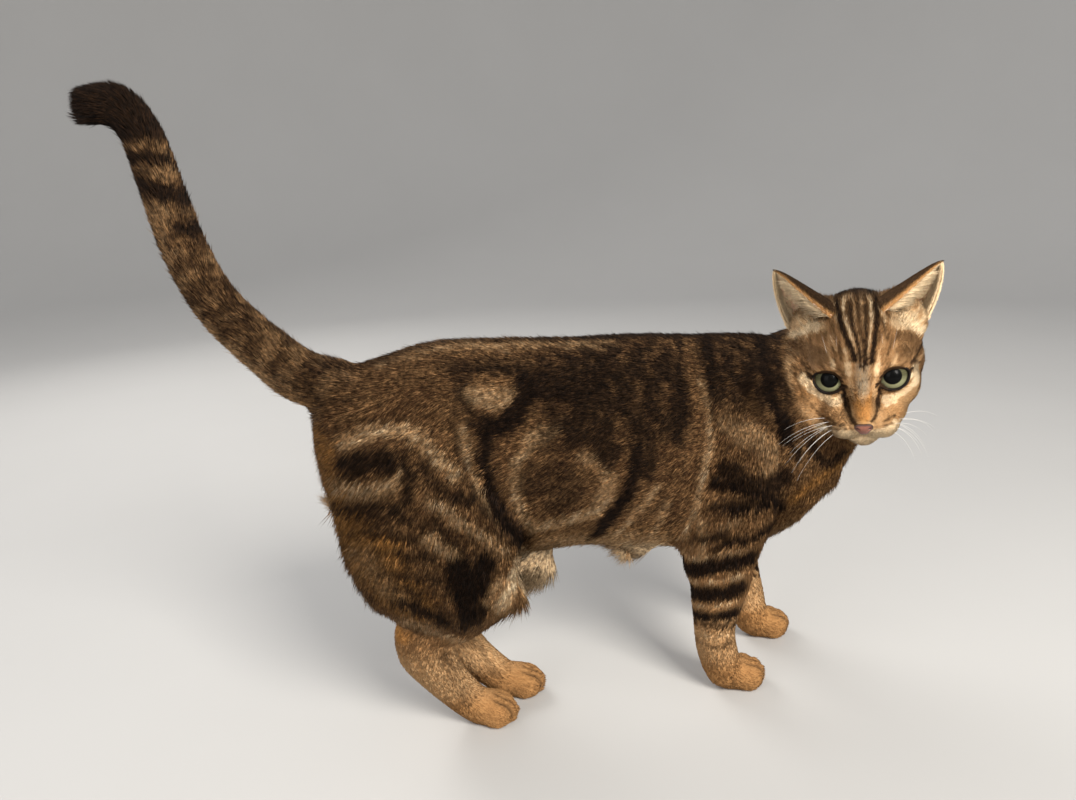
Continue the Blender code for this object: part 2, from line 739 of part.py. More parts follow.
def main():
    clear_scene()
    whole = fused(all_forms())
    body = simplified(whole, COARSE_TRIANGLES)
    fine = simplified(whole, FINE_TRIANGLES)
    bpy.data.objects.remove(whole)
    body.name = "torso"
    combined(body, block("floor", (-1, -1, -1), (1, 1, 0)), "DIFFERENCE")
    nodes = head_nodes(body, fine)
    bpy.data.objects.remove(fine)
    nodes += tail_nodes(body) + paw_nodes(body) + leg_nodes(body)
    nodes.append(parted(body, "neck", block_cell(*NECK_CELL, tilted_frame(*NECK_FRAME))))
    nodes.append(body)
    dress(nodes)
    return centre_on_floor(nodes)


SHIFT = main()
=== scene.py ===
"""The looks of a life-size standing European Shorthair cat: skin, coat, eyes, nose, ears and whiskers.

All stations are in metres in the animal's own frame: X towards the chest, Y to the cat's left, Z up from the
floor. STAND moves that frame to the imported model's, where the middle of the whole box is at x = y = 0.
Surfaces are worked out with numpy on grids, the flesh is fused from them into one skin, and the coat is
made of tapered tufts of three sides that start in the skin and lie along the fur's own direction.
"""

import math

import bpy
import numpy as np
from mathutils import Matrix, Vector


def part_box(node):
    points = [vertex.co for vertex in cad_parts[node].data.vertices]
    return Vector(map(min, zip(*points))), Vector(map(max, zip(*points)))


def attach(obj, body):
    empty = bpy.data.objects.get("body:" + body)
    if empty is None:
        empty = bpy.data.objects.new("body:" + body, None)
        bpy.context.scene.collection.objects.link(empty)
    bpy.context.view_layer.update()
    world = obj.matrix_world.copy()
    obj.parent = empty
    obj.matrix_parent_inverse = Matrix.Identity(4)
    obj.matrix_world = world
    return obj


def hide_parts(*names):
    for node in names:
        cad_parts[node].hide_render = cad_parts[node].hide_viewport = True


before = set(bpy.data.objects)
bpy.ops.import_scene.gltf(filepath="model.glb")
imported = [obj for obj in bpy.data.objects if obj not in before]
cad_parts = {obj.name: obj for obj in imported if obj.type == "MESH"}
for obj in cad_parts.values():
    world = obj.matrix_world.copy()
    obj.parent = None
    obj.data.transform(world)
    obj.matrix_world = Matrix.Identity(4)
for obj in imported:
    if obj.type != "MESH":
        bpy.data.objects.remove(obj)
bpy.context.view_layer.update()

# Torso: place along the body, height of the back, height of the belly, half width
TORSO = (
    (-0.179, 0.245, 0.150, 0.033),
    (-0.152, 0.252, 0.134, 0.043),
    (-0.118, 0.258, 0.120, 0.047),
    (-0.078, 0.256, 0.113, 0.047),
    (-0.034, 0.252, 0.111, 0.050),
    (0.006, 0.250, 0.103, 0.052),
    (0.046, 0.246, 0.096, 0.049),
    (0.082, 0.243, 0.093, 0.045),
    (0.112, 0.237, 0.100, 0.040),
    (0.136, 0.224, 0.116, 0.033),
)
BELLY_FULLNESS = 0.13

# Limbs: centre of each section, half size fore and aft, half size side to side
NECK = (
    (0.078, 0.000, 0.188, 0.050, 0.045),
    (0.108, 0.001, 0.192, 0.047, 0.043),
    (0.134, -0.002, 0.202, 0.043, 0.038),
    (0.149, -0.012, 0.2085, 0.0400, 0.034),
    (0.153, -0.022, 0.210, 0.036, 0.033),
)
CHEST = (
    (0.096, 0.000, 0.143, 0.043, 0.040),
    (0.119, 0.000, 0.153, 0.037, 0.034),
    (0.136, -0.005, 0.176, 0.032, 0.031),
)
RIGHT_FORELEG = (
    (0.064, -0.026, 0.182, 0.036, 0.024),
    (0.057, -0.032, 0.142, 0.036, 0.024),
    (0.050, -0.034, 0.108, 0.029, 0.021),
    (0.0500, -0.033, 0.085, 0.0222, 0.0175),
    (0.0487, -0.031, 0.067, 0.0184, 0.0152),
    (0.0475, -0.030, 0.051, 0.0149, 0.0136),
    (0.0488, -0.0285, 0.036, 0.0143, 0.0132),
    (0.0520, -0.0285, 0.022, 0.0140, 0.0132),
    (0.0560, -0.0290, 0.011, 0.0130, 0.0126),
)
LEFT_FORELEG = (
    (0.072, 0.026, 0.180, 0.036, 0.024),
    (0.076, 0.032, 0.142, 0.036, 0.024),
    (0.080, 0.034, 0.108, 0.029, 0.021),
    (0.0870, 0.033, 0.085, 0.0222, 0.0175),
    (0.0925, 0.031, 0.067, 0.0184, 0.0152),
    (0.0970, 0.030, 0.051, 0.0149, 0.0136),
    (0.1000, 0.0285, 0.036, 0.0143, 0.0132),
    (0.1020, 0.0265, 0.022, 0.0140, 0.0132),
    (0.1050, 0.0250, 0.011, 0.0130, 0.0126),
)
RIGHT_THIGH = (
    (-0.143, -0.022, 0.204, 0.045, 0.026),
    (-0.141, -0.030, 0.174, 0.051, 0.027),
    (-0.1325, -0.035, 0.144, 0.0545, 0.025),
    (-0.1200, -0.036, 0.118, 0.0475, 0.022),
    (-0.108, -0.035, 0.101, 0.030, 0.019),
)
LEFT_THIGH = (
    (-0.142, 0.022, 0.204, 0.044, 0.026),
    (-0.137, 0.030, 0.174, 0.050, 0.027),
    (-0.126, 0.035, 0.144, 0.054, 0.025),
    (-0.113, 0.036, 0.118, 0.047, 0.022),
    (-0.100, 0.035, 0.101, 0.030, 0.019),
)
RIGHT_SHANK = (
    (-0.100, -0.036, 0.116, 0.027, 0.019),
    (-0.122, -0.032, 0.098, 0.0245, 0.0175),
    (-0.141, -0.025, 0.083, 0.0215, 0.0155),
    (-0.1445, -0.0200, 0.065, 0.0195, 0.0142),
    (-0.1395, -0.0160, 0.049, 0.0164, 0.0132),
    (-0.1315, -0.0125, 0.033, 0.0140, 0.0126),
    (-0.1210, -0.0110, 0.018, 0.0128, 0.0120),
    (-0.1120, -0.0130, 0.009, 0.0115, 0.0116),
)
LEFT_SHANK = (
    (-0.094, 0.036, 0.116, 0.027, 0.019),
    (-0.114, 0.033, 0.096, 0.0245, 0.0175),
    (-0.130, 0.028, 0.078, 0.0200, 0.0155),
    (-0.1290, 0.0235, 0.058, 0.0180, 0.0142),
    (-0.1195, 0.0195, 0.042, 0.0155, 0.0132),
    (-0.1080, 0.0155, 0.028, 0.0136, 0.0124),
    (-0.0970, 0.0128, 0.017, 0.0126, 0.0118),
    (-0.0890, 0.0110, 0.009, 0.0112, 0.0116),
)
TAIL = (
    (-0.150, 0.000, 0.218, 0.026, 0.024),
    (-0.178, 0.000, 0.232, 0.0210, 0.0205),
    (-0.1975, 0.001, 0.2425, 0.0178, 0.0178),
    (-0.2145, 0.003, 0.2580, 0.0163, 0.0163),
    (-0.2335, 0.005, 0.2800, 0.0150, 0.0150),
    (-0.2440, 0.006, 0.2980, 0.0144, 0.0144),
    (-0.2515, 0.006, 0.3190, 0.0140, 0.0140),
    (-0.2560, 0.005, 0.3420, 0.0133, 0.0133),
    (-0.2595, 0.003, 0.3640, 0.0127, 0.0127),
    (-0.2630, 0.000, 0.3820, 0.0122, 0.0122),
    (-0.2710, -0.004, 0.3945, 0.0124, 0.0122),
    (-0.2845, -0.008, 0.3950, 0.0112, 0.0106),
)

# Paws: direction of the toes, middle of the palm on the floor, sizes of the palm and the toes, how far the
# toes reach and spread, and where the clefts between them lie
PAW_TURN = {"fore_right": -4, "fore_left": -8, "hind_right": -25, "hind_left": -18}
PAW_PLACE = {
    "fore_right": (0.0620, -0.0290),
    "fore_left": (0.1110, 0.0245),
    "hind_right": (-0.1095, -0.0135),
    "hind_left": (-0.0850, 0.0110),
}
PALM = (0.0170, 0.0124, 0.0125)
PALM_HEIGHT = 0.0103
TOE = (0.0100, 0.0052, 0.0098)
TOE_HEIGHT = 0.0086
TOE_REACH = (0.0080, 0.0125, 0.0125, 0.0080)
TOE_SPREAD = {"fore": 0.0063, "hind": 0.0054}
PAW_REACH = 0.035
CLEFT_START = (0.004, 0.011)
CLEFT_SPREAD = 0.92
PAW_HEART = (0.004, 0.0, 0.005)
# Stations of a paw's coat: place ahead of its middle, height, half height, half width
PAW_STATIONS = ((-0.010, 0.0105, 0.0120, 0.0125), (0.017, 0.0090, 0.0100, 0.0125))

# Hanging fur as balls: between the thighs, behind the elbows and at the knee; the flesh under the first two
# as a share of their size, how far out the fur reaches, the way it hangs and how much longer it is
BELLY_FUR = {
    "groin_fur": ((-0.071, -0.002, 0.104), (0.022, 0.016, 0.019)),
    "elbow_fur": ((0.004, -0.012, 0.113), (0.020, 0.014, 0.014)),
}
KNEE_FUR = ((-0.087, -0.026, 0.110), (0.018, 0.016, 0.022))
FRINGE_CORE = 0.92
FRINGE_EDGE = (0.85, 1.35)
FRINGE_WAY = (-0.3, 0.0, -1.6)
FRINGE_LENGTH = 0.0095

# Longer fur down the back edge of the thighs: its heights, its place along the body, its lie and what it adds
BREECH_LOW = (0.105, 0.125)
BREECH_HIGH = (0.185, 0.215)
BREECH_BACK = (-0.172, -0.150)
BREECH_WAY = (-0.5, 0.0, -0.7)
BREECH_LENGTH = 0.0065
BREECH_DEPTH = 0.0012

# Head: where the skull's middle is, and how it is turned, bowed and leaned
HEAD_CENTRE = (0.1470, -0.0330, 0.2185)
HEAD_TURN = -120.5
HEAD_BOW = 20.0
HEAD_LEAN = 5.0

# Forms of the head, in its own frame: forward, left, up. The side ones are made twice.
HEAD_MIDDLE_FORMS = {
    "cranium": ((-0.008, 0, 0.009), (0.038, 0.037, 0.0375)),
    "crown": ((-0.010, 0, 0.024), (0.024, 0.027, 0.0250)),
    "forehead": ((0.007, 0, 0.014), (0.022, 0.024, 0.020)),
    "bridge": ((0.0180, 0, -0.0010), (0.0190, 0.0100, 0.0098)),
    "nose_ridge": ((0.0350, 0, -0.0075), (0.0150, 0.0085, 0.0080)),
    "muzzle": ((0.034, 0, -0.0150), (0.0150, 0.0135, 0.0105)),
    "nose_tip": ((0.0455, 0, -0.0125), (0.0055, 0.0060, 0.0050)),
    "chin": ((0.0345, 0, -0.0282), (0.0100, 0.0095, 0.0075)),
    "jaw": ((0.015, 0, -0.0215), (0.0250, 0.0200, 0.0130)),
}
HEAD_SIDE_FORMS = {
    "brow": ((0.0155, 0.0175, 0.0155), (0.0115, 0.0125, 0.0075)),
    "cheekbone": ((0.0125, 0.0255, -0.0030), (0.0130, 0.0095, 0.0110)),
    "cheek": ((0.003, 0.0195, -0.0075), (0.0255, 0.0175, 0.0195)),
    "cheek_front": ((0.0225, 0.0165, -0.0150), (0.0170, 0.0110, 0.0112)),
    "ruff": ((-0.011, 0.0250, -0.0020), (0.0230, 0.0155, 0.0225)),
    "whisker_pad": ((0.0358, 0.0110, -0.0182), (0.0128, 0.0108, 0.0096)),
    "ear_root": ((-0.013, 0.0290, 0.0215), (0.0135, 0.0130, 0.0180)),
    "ear_back": ((-0.015, 0.0225, 0.0350), (0.0105, 0.0120, 0.0115)),
}

# Eyes in the head's frame: the ball, its lid, how the opening is turned, its half width and half height,
# and the power that gives it its almond shape
EYE_PLACE = (0.0169, 0.0178, 0.0032)
EYE_RADIUS = 0.0106
LID_THICKNESS = 0.0015
EYE_TURN_OUT = 8.0
EYE_TURN_UP = 18.0
EYE_OPENING = (0.0094, 0.0070)
EYE_ALMOND = 1.35
EYE_SLANT = 14.0
# Flesh round the eyes: how far it stands over the lid before it is pressed in, the share of the lid that it
# is held off the ball, how far round it is finely faced, how far round and how deep it is pressed in, and
# its bare edge
LID_MARGIN = 0.0008
LID_HELD = 0.75
EYE_REACH = 0.0150
SOCKET_REACH = 0.019
SOCKET_DEPTH = 0.0025
LID_BARE = 0.0011

# The nose's bare place and its half sizes, and the mouth's line on the left with its depth, its half width,
# the place that it is sunk towards and how far beside it no fur grows
NOSE_PLACE = (0.0510, 0, -0.0128)
NOSE_SIZE = (0.0058, 0.0068, 0.0050)
MOUTH = ((0.0490, 0.0, -0.0185), (0.0470, 0.0, -0.0235), (0.0430, 0.0075, -0.0268),
         (0.0350, 0.0140, -0.0265), (0.0250, 0.0190, -0.0235))
MOUTH_DEPTH = 0.0016
MOUTH_WIDTH = 0.0012
MOUTH_SOURCE = (0.020, 0.0, -0.018)
MOUTH_BARE = 0.0010

# Ears in the head's frame: root, tips, the way the cup opens, its half width and depth, its wall, how far
# round it wraps in degrees, how far it is sunk, how it narrows, where its top is, its curl and its grid
EAR_ROOT = (-0.0120, 0.0270, 0.0300)
EAR_TIPS = {-1: (-0.0180, -0.0480, 0.0655), 1: (-0.0180, 0.0494, 0.0600)}
EAR_OPENING = (0.75, 0.66, -0.10)
EAR_HALF_WIDTH = 0.0231
EAR_DEPTH = 0.0155
EAR_WALL = 0.0021
EAR_WRAP = 104.0
EAR_SUNK = 0.17
EAR_TAPER = 0.66
EAR_TOP = 0.985
EAR_CURL = 0.0012
EAR_STEPS = 33
EAR_RINGS = 40
EAR_INNER_ARC = 0.985

# Markings of the trunk, legs and tail in millimetres: width, strength, then points (x, z) seen from the side
DARK_STROKES = {
    "saddle": (12.2, 1.0, ((-114, 246), (-97, 243), (-73, 242), (-49, 241), (-24, 239), (8, 237))),
    "saddle_lower": (7.3, 0.8, ((-104, 238), (-111, 232), (-110, 225), (-105, 217))),
    "flank_band": (9.8, 1.0, ((-97, 212), (-99, 201), (-101, 192), (-101, 182), (-101, 175), (-99, 166),
        (-95, 158), (-90, 149), (-83, 139), (-76, 126))),
    "flank_band_top": (12.2, 1.0, ((-96, 209), (-86, 211), (-77, 217), (-72, 225), (-71, 232))),
    "inner_line": (3.7, 0.8, ((-116, 218), (-116, 206), (-116, 194), (-114, 183), (-110, 173), (-104, 160),
        (-98, 150), (-91, 139))),
    "eye_floor": (20.7, 0.55, ((-74, 177), (-59, 177), (-52, 168), (-59, 163))),
    "flank_line": (9.8, 1.0, ((-10, 187), (-12, 175), (-16, 164), (-20, 154), (-27, 144), (-33, 134))),
    "shoulder_back": (9.2, 0.95, ((36, 245), (27, 234), (24, 223), (23, 212), (21, 201), (17, 190))),
    "shoulder_fore": (9.8, 1.0, ((57, 245), (50, 234), (46, 223), (45, 216))),
    "collar": (11.0, 1.0, ((81, 250), (92, 235), (86, 225), (83, 214), (84, 204), (90, 191), (93, 178))),
    "neck_shade": (15.9, 0.55, ((70, 237), (70, 224), (68, 209))),
    "arm_upper": (8.5, 1.0, ((40, 159), (52, 156), (63, 150), (75, 144), (90, 133))),
    "arm_middle": (8.5, 1.0, ((49, 141), (61, 140), (75, 140))),
    "arm_lower": (6.1, 1.0, ((37, 116), (49, 120), (63, 121), (77, 122), (86, 124))),
    "chest_right": (6.1, 0.9, ((91, 181), (98, 173), (103, 166))),
    "chest_middle": (5.5, 0.9, ((111, 175), (119, 161), (129, 154), (136, 157), (141, 163))),
    "thigh_patch": (13.4, 0.95, ((-177, 197), (-166, 200), (-155, 198))),
    "thigh_line": (5.5, 0.95, ((-182, 176), (-172, 175), (-161, 176), (-152, 171))),
    "thigh_upright": (7.3, 0.9, ((-146, 201), (-145, 192), (-147, 184), (-148, 178))),
    "thigh_bend": (6.1, 0.85, ((-137, 195), (-135, 186), (-129, 180), (-121, 176), (-113, 171))),
    "thigh_slant": (4.9, 0.7, ((-135, 166), (-130, 156), (-124, 149), (-117, 141), (-108, 131))),
    "rump_spot": (5.5, 0.8, ((-183, 248), (-177, 246), (-171, 246))),
    "wrist_bars": (4.9, 0.9, ((29, 121), (37, 123), (45, 126))),
    "tail_root": (7.3, 0.7, ((-198, 249), (-193, 237), (-189, 230))),
    "tail_band_1": (9.8, 1.0, ((-250, 331), (-244, 329), (-240, 327))),
    "tail_band_2": (12.2, 1.0, ((-264, 353), (-254, 349), (-245, 345))),
    "tail_band_3": (8.5, 1.0, ((-271, 369), (-260, 368), (-250, 368))),
    "tail_band_4": (8.5, 1.0, ((-275, 382), (-263, 380), (-252, 383))),
    "tail_end": (30.5, 1.0, ((-288, 395), (-275, 397), (-263, 395), (-259, 391))),
    "upper_flank": (21.3, 0.95, ((-64, 230), (-46, 228), (-29, 224))),
    "upper_flank_low": (18.3, 0.85, ((-41, 208), (-33, 196), (-28, 187))),
    "upper_flank_mid": (18.3, 0.9, ((-68, 238), (-43, 238), (-7, 234))),
    "under_blotch": (7.3, 0.95, ((-105, 212), (-91, 209), (-76, 211))),
    "fore_flank": (15.2, 0.8, ((-8, 216), (-5, 196), (-6, 175))),
    "elbow_dark": (15.2, 0.9, ((48, 164), (63, 153), (89, 153))),
    "elbow_dark_low": (9.2, 0.8, ((40, 143), (59, 144), (84, 144))),
    "rump_streak_1": (4.9, 0.8, ((-184, 174), (-169, 173), (-151, 168), (-140, 161))),
    "rump_streak_2": (4.3, 0.8, ((-178, 163), (-162, 160), (-147, 155))),
    "rump_streak_3": (4.3, 0.8, ((-174, 151), (-155, 148), (-137, 143))),
    "rump_streak_4": (4.3, 0.75, ((-165, 136), (-149, 132), (-135, 128))),
    "foreleg_bar_1": (12.6, 1.0, ((25, 97), (38, 104), (54, 105), (64, 106))),
    "foreleg_bar_2": (13.4, 1.0, ((30, 79), (40, 82), (56, 84))),
    "foreleg_bar_3": (8.6, 1.0, ((32, 62), (42, 62), (57, 64))),
    "foreleg_bar_4": (3.6, 0.85, ((34, 56), (45, 55), (59, 54))),
    "foreleg_ticks": (3.6, 0.45, ((37, 40), (44, 39), (54, 40))),
    "thigh_black": (19.0, 1.0, ((-123, 131), (-120, 120))),
    "thigh_black_front": (15.0, 1.0, ((-110, 134), (-113, 117))),
    "thigh_black_low": (12.5, 1.0, ((-121, 112), (-121, 100))),
    "thigh_black_fore": (10.2, 0.9, ((-113, 104), (-117, 97), (-122, 93))),
    "hock_line": (6.7, 0.95, ((-158, 116), (-149, 112), (-140, 106), (-130, 97))),
    "hock_line_upper": (4.6, 0.8, ((-159, 126), (-148, 122), (-139, 120))),
    "shank_tick": (4.6, 0.5, ((-136, 66), (-132, 55))),
    "shank_ticks": (8.7, 0.35, ((-131, 50), (-127, 35), (-122, 23))),
}
PALE_STROKES = {
    "back_band": (6.1, 0.8, ((-153, 249), (-141, 252), (-124, 254), (-106, 254), (-83, 252), (-58, 250),
        (-34, 247), (-9, 245))),
    "saddle_blotch": (10.4, 0.70, ((-108, 229), (-100, 226), (-89, 224), (-80, 225))),
    "eye_top": (7.9, 0.85, ((-72, 200), (-63, 201), (-54, 205))),
    "eye_left": (4.9, 0.85, ((-74, 195), (-81, 190), (-83, 181), (-84, 172), (-83, 163), (-80, 152),
        (-74, 143))),
    "eye_bottom": (7.3, 0.8, ((-70, 145), (-59, 146), (-47, 148), (-35, 151), (-29, 158))),
    "eye_right": (9.2, 0.6, ((-41, 186), (-33, 182), (-28, 174), (-29, 165), (-33, 159))),
    "flank_pale": (4.3, 0.9, ((-112, 212), (-111, 203), (-111, 194), (-111, 186), (-109, 177), (-106, 168),
        (-101, 160), (-94, 150), (-85, 140))),
    "thigh_top": (6.7, 0.85, ((-178, 209), (-167, 213), (-156, 215), (-143, 215), (-137, 209), (-132, 203),
        (-126, 194), (-120, 186))),
    "thigh_middle": (7.3, 0.8, ((-182, 185), (-173, 184), (-162, 185), (-154, 187), (-149, 193))),
    "thigh_fore": (5.5, 0.85, ((-136, 175), (-128, 171), (-123, 164), (-115, 157), (-106, 148),
        (-97, 137))),
    "thigh_low": (6.7, 0.8, ((-139, 155), (-131, 148), (-124, 142))),
    "breech": (12.0, 0.40, ((-176, 150), (-166, 132), (-154, 114))),
    "hock_pale": (6.1, 0.8, ((-157, 102), (-147, 97), (-135, 87), (-123, 76))),
    "knee": (6.7, 0.7, ((-110, 108), (-106, 116), (-100, 119))),
    "shoulder_line": (3.7, 0.95, ((39, 219), (39, 212), (39, 204), (38, 196), (38, 187), (36, 178),
        (32, 169), (30, 160), (29, 152), (27, 143), (24, 133), (21, 120))),
    "rib_streak": (3.7, 0.8, ((2, 163), (-4, 156), (-10, 146), (-16, 136), (-21, 129))),
    "rib_streak_fore": (3.7, 0.6, ((9, 151), (5, 140), (2, 126))),
    "shoulder_grey": (14.6, 0.45, ((50, 194), (59, 187), (70, 183), (78, 174), (78, 165), (75, 157))),
    "elbow_streaks": (5.5, 0.6, ((29, 138), (32, 124), (29, 113))),
    "arm_line": (2.4, 0.8, ((42, 129), (51, 133))),
    "forearm_top": (2.3, 1.0, ((26, 107), (35, 111), (48, 112), (60, 112))),
    "forearm_line": (2.6, 1.0, ((28, 88), (37, 91), (49, 94), (58, 94))),
    "forearm_low": (2.6, 1.0, ((31, 70), (41, 71), (55, 74))),
    "groin": (15.4, 1.0, ((-86, 123), (-68, 108), (-54, 106))),
    "groin_low": (11.3, 1.0, ((-91, 118), (-93, 112), (-100, 103))),
    "elbow_tuft": (8.7, 0.8, ((-12, 116), (-2, 116), (5, 117))),
    "tail_ring_1": (5.5, 0.8, ((-263, 341), (-253, 339), (-242, 338))),
    "tail_ring_2": (4.9, 0.7, ((-265, 362), (-256, 359), (-247, 361))),
    "tail_ring_3": (3.7, 0.8, ((-271, 376), (-261, 374), (-251, 376))),
    "forearm_lower": (2.3, 0.9, ((33, 58), (43, 59), (58, 58))),
    "forearm_lowest": (4.1, 0.8, ((35, 48), (45, 48), (59, 46))),
}
WARM_STROKES = {
    "rump_edge": (13.0, 0.8, ((-193, 209), (-191, 198), (-189, 188), (-186, 179))),
    "rump_low": (15.0, 0.85, ((-182, 171), (-178, 163), (-172, 156), (-158, 150))),
    "breech": (26.0, 0.50, ((-172, 150), (-162, 132), (-150, 114))),
    "nape": (8.5, 0.7, ((96, 252), (89, 247))),
    "chest_edge": (8.5, 0.8, ((99, 136), (109, 141), (121, 147), (135, 152))),
    "hock_back": (7.3, 0.7, ((-161, 89), (-159, 81))),
}

# Markings of the face in millimetres: width, strength, then points (left, up) seen from in front of the head
FACE_DARK = {
    "mark_outer_right": (3.7, 1.0, ((-12, 45.1), (-10.7, 41.7), (-9.2, 37.4), (-6.8, 32), (-4.4, 26.8),
        (-2.9, 21.5))),
    "mark_outer_left": (3.4, 1.0, ((12.4, 45.6), (11, 44.4), (10.7, 41.4), (10.6, 37.8), (9.6, 33.6),
        (8.1, 29), (7, 23.6), (6.4, 18.7))),
    "mark_inner_right": (2.1, 1.0, ((-3.6, 44.3), (-4, 40.8), (-3.2, 36.8), (-1.2, 32), (-0.4, 25.6),
        (0.3, 17.5))),
    "mark_middle": (1.7, 1.0, ((0.5, 45.5), (0.6, 39.2), (1.3, 33.9), (2.1, 27.6), (1.9, 14.5))),
    "mark_inner_left": (2.1, 1.0, ((5.3, 43.8), (4.6, 40.4), (3.9, 36.3), (3.8, 31.6), (3.5, 26.3),
        (3.4, 18.0))),
    "mark_side_left": (1.5, 0.7, ((13.6, 37), (14.4, 33.3), (15.3, 29.2))),
    "mark_side_right": (1.5, 0.7, ((-14.4, 36.7), (-14, 34.1), (-13.2, 31.4))),
    "tear_right": (2.9, 1.0, ((-10.9, 4.3), (-10.3, -0.1), (-9.9, -6.2), (-9.4, -6.9))),
    "tear_left": (2.4, 0.95, ((11.5, 1.5), (10.6, -3.4), (9.8, -7.1), (8.6, -6.4))),
    "nose_side_right": (2.9, 0.85, ((-7.8, -5.5), (-7, -8.4), (-4.8, -11.5))),
    "nose_side_left": (2.4, 0.8, ((8.2, -6.1), (7.2, -8.5), (5.2, -9.9))),
    "corner_right": (1.1, 0.95, ((-26.4, 8.1), (-31.4, 9.3), (-35.2, 10), (-37.1, 8.7))),
    "corner_left": (1.1, 0.95, ((26, 10.4), (30.8, 6.5), (35.4, 0.5))),
    "cheek_line_right_1": (1.0, 0.7, ((-37.3, 5.8), (-33.2, -3.3), (-25.3, -14.2), (-16.8, -13.1),
        (-12, -13.2))),
    "cheek_line_right_2": (0.9, 0.5, ((-35.8, -0.9), (-30, -9), (-22.9, -17))),
    "pad_line_right_1": (0.7, 0.85, ((-22.4, -18.2), (-16.8, -14), (-10.9, -13.7))),
    "pad_line_right_2": (0.7, 0.75, ((-20.6, -17.6), (-14.6, -15.9), (-10.4, -15.4))),
    "pad_line_left_1": (0.7, 0.85, ((11.8, -12.1), (14.9, -11.7), (18.1, -12.3))),
    "pad_line_left_2": (0.7, 0.7, ((11.7, -14.3), (15.9, -13.8))),
    "temple_right": (7.3, 0.42, ((-38.5, 18.1), (-29.6, 18.6), (-20.8, 21.7))),
    "temple_right_line": (1.1, 0.6, ((-37.8, 19), (-33.4, 17.4), (-31, 15.1))),
    "temple_left": (7.3, 0.3, ((24.8, 23.3), (31.1, 15.2), (25.4, 18.1))),
}
FACE_FILL = {
    "crown": (24.4, 0.66, ((0.9, 48.5), (0.5, 47.5))),
    "upper": (18.3, 0.58, ((0.9, 46.2), (0.8, 41.4))),
    "middle": (13.4, 0.54, ((1.3, 39.9), (2, 34.7))),
    "lower": (8.5, 0.50, ((2.4, 31.8), (2.6, 26.4))),
}
FACE_PALE = {
    "line_right": (1.5, 1.0, ((-1.5, 46.9), (-5.1, 46.3), (-8, 44.4), (-7.7, 42.1), (-7, 39.2),
        (-5.6, 35.8), (-3.9, 31.1), (-2.7, 26.8), (-1.5, 21.5))),
    "line_left": (1.5, 1.0, ((6.9, 47.7), (7.4, 45.3), (7.9, 42), (7.4, 38.4), (6.6, 34.2), (5.5, 29.4),
        (4.3, 24.6), (4.4, 20.3))),
    "line_inner_right": (1.0, 0.8, ((-1.4, 45.7), (-1.4, 41), (-0.9, 36.1))),
    "line_inner_left": (1.0, 0.8, ((2.8, 45.9), (2.6, 40.6), (2.6, 35.5))),
    "line_low": (0.9, 0.8, ((0.2, 32.9), (0.7, 27.7), (1.0, 23.1))),
    "line_side_right": (1.4, 0.9, ((-13, 42.2), (-11.3, 40.8), (-12.5, 38.2))),
    "line_side_left": (1.4, 0.9, ((12.3, 41.4), (14.4, 38.5), (15.4, 35.7))),
    "crown_spot_left": (1.0, 0.8, ((12.3, 45.4), (13, 45.4))),
    "crown_spot_right": (0.9, 0.6, ((-4, 48.3), (-6, 47.9))),
    "brow_hair_right": (0.6, 0.9, ((-15.6, 31.6), (-13.1, 26.1))),
    "brow_patch_right": (2.4, 0.9, ((-15.9, 19.1), (-14.8, 15.9))),
    "brow_patch_top": (1.2, 0.8, ((-18.2, 25.2), (-16.2, 20.1))),
    "brow_inner_right": (4.0, 0.85, ((-7.1, 18.6), (-6.8, 12.9))),
    "brow_point_right": (1.8, 0.8, ((-8.3, 26.5), (-7.4, 20.5))),
    "side_bridge_right": (3.2, 0.5, ((-6.3, 10), (-5.8, 3.4), (-5.3, -0.3))),
    "brow_inner_left": (3.6, 0.85, ((9.6, 16.9), (8.6, 11.5))),
    "brow_point_left": (1.7, 0.8, ((10.9, 24.5), (9.9, 18.5))),
    "side_bridge_left": (2.7, 0.5, ((7.9, 7.3), (7.4, 2), (6.9, -2.2))),
    "brow_patch_left": (3.2, 0.7, ((19.5, 19.4), (18.1, 16.9))),
    "under_eye_right": (5.2, 0.85, ((-34.1, 7.2), (-30, 1.8), (-24, -2.9), (-17.3, -5.6), (-12.9, -5.1))),
    "outer_eye_right": (3.7, 0.9, ((-33.4, 8.1), (-29.5, 3.5))),
    "under_eye_left": (4.8, 0.90, ((13.7, -6.3), (19.1, -5.3), (25.7, -3.5), (30.1, 0.1))),
    "outer_eye_left": (4.9, 0.95, ((28.8, 5.4), (32.3, 2.5), (30.7, -1.8))),
    "ear_foot_right": (4.1, 1.0, ((-39.7, 21.7), (-34.3, 24.9), (-27.6, 30.2), (-23.1, 33.1))),
    "ear_foot_left": (5.6, 0.95, ((25.1, 32.2), (32, 25.8), (38.7, 16.6))),
    "edge_left": (2.2, 0.8, ((38, 14), (38.5, 8), (37.5, 2.3))),
    "edge_right": (1.7, 0.6, ((-43.6, 20.6), (-41.7, 17.8), (-39.4, 13.9))),
    "cheek_edge_right": (4.5, 0.6, ((-41.5, 14), (-42.5, 6), (-41, -3), (-36, -11))),
    "muzzle_right": (6.1, 0.95, ((-12.2, -17.6), (-7.5, -21), (-2.7, -25.8))),
    "muzzle_left": (6.1, 0.95, ((5.7, -22.3), (11.5, -17.8), (16.4, -15.8))),
    "pad_right": (4.9, 0.7, ((-17, -16.1), (-11, -15.4))),
    "ear_hollow_right": (9.0, 0.7, ((-39.2, 29.8), (-31.3, 31.5), (-22.3, 35.9))),
    "ear_hollow_left": (9.0, 0.8, ((22.2, 35.3), (29.7, 30.1))),
}
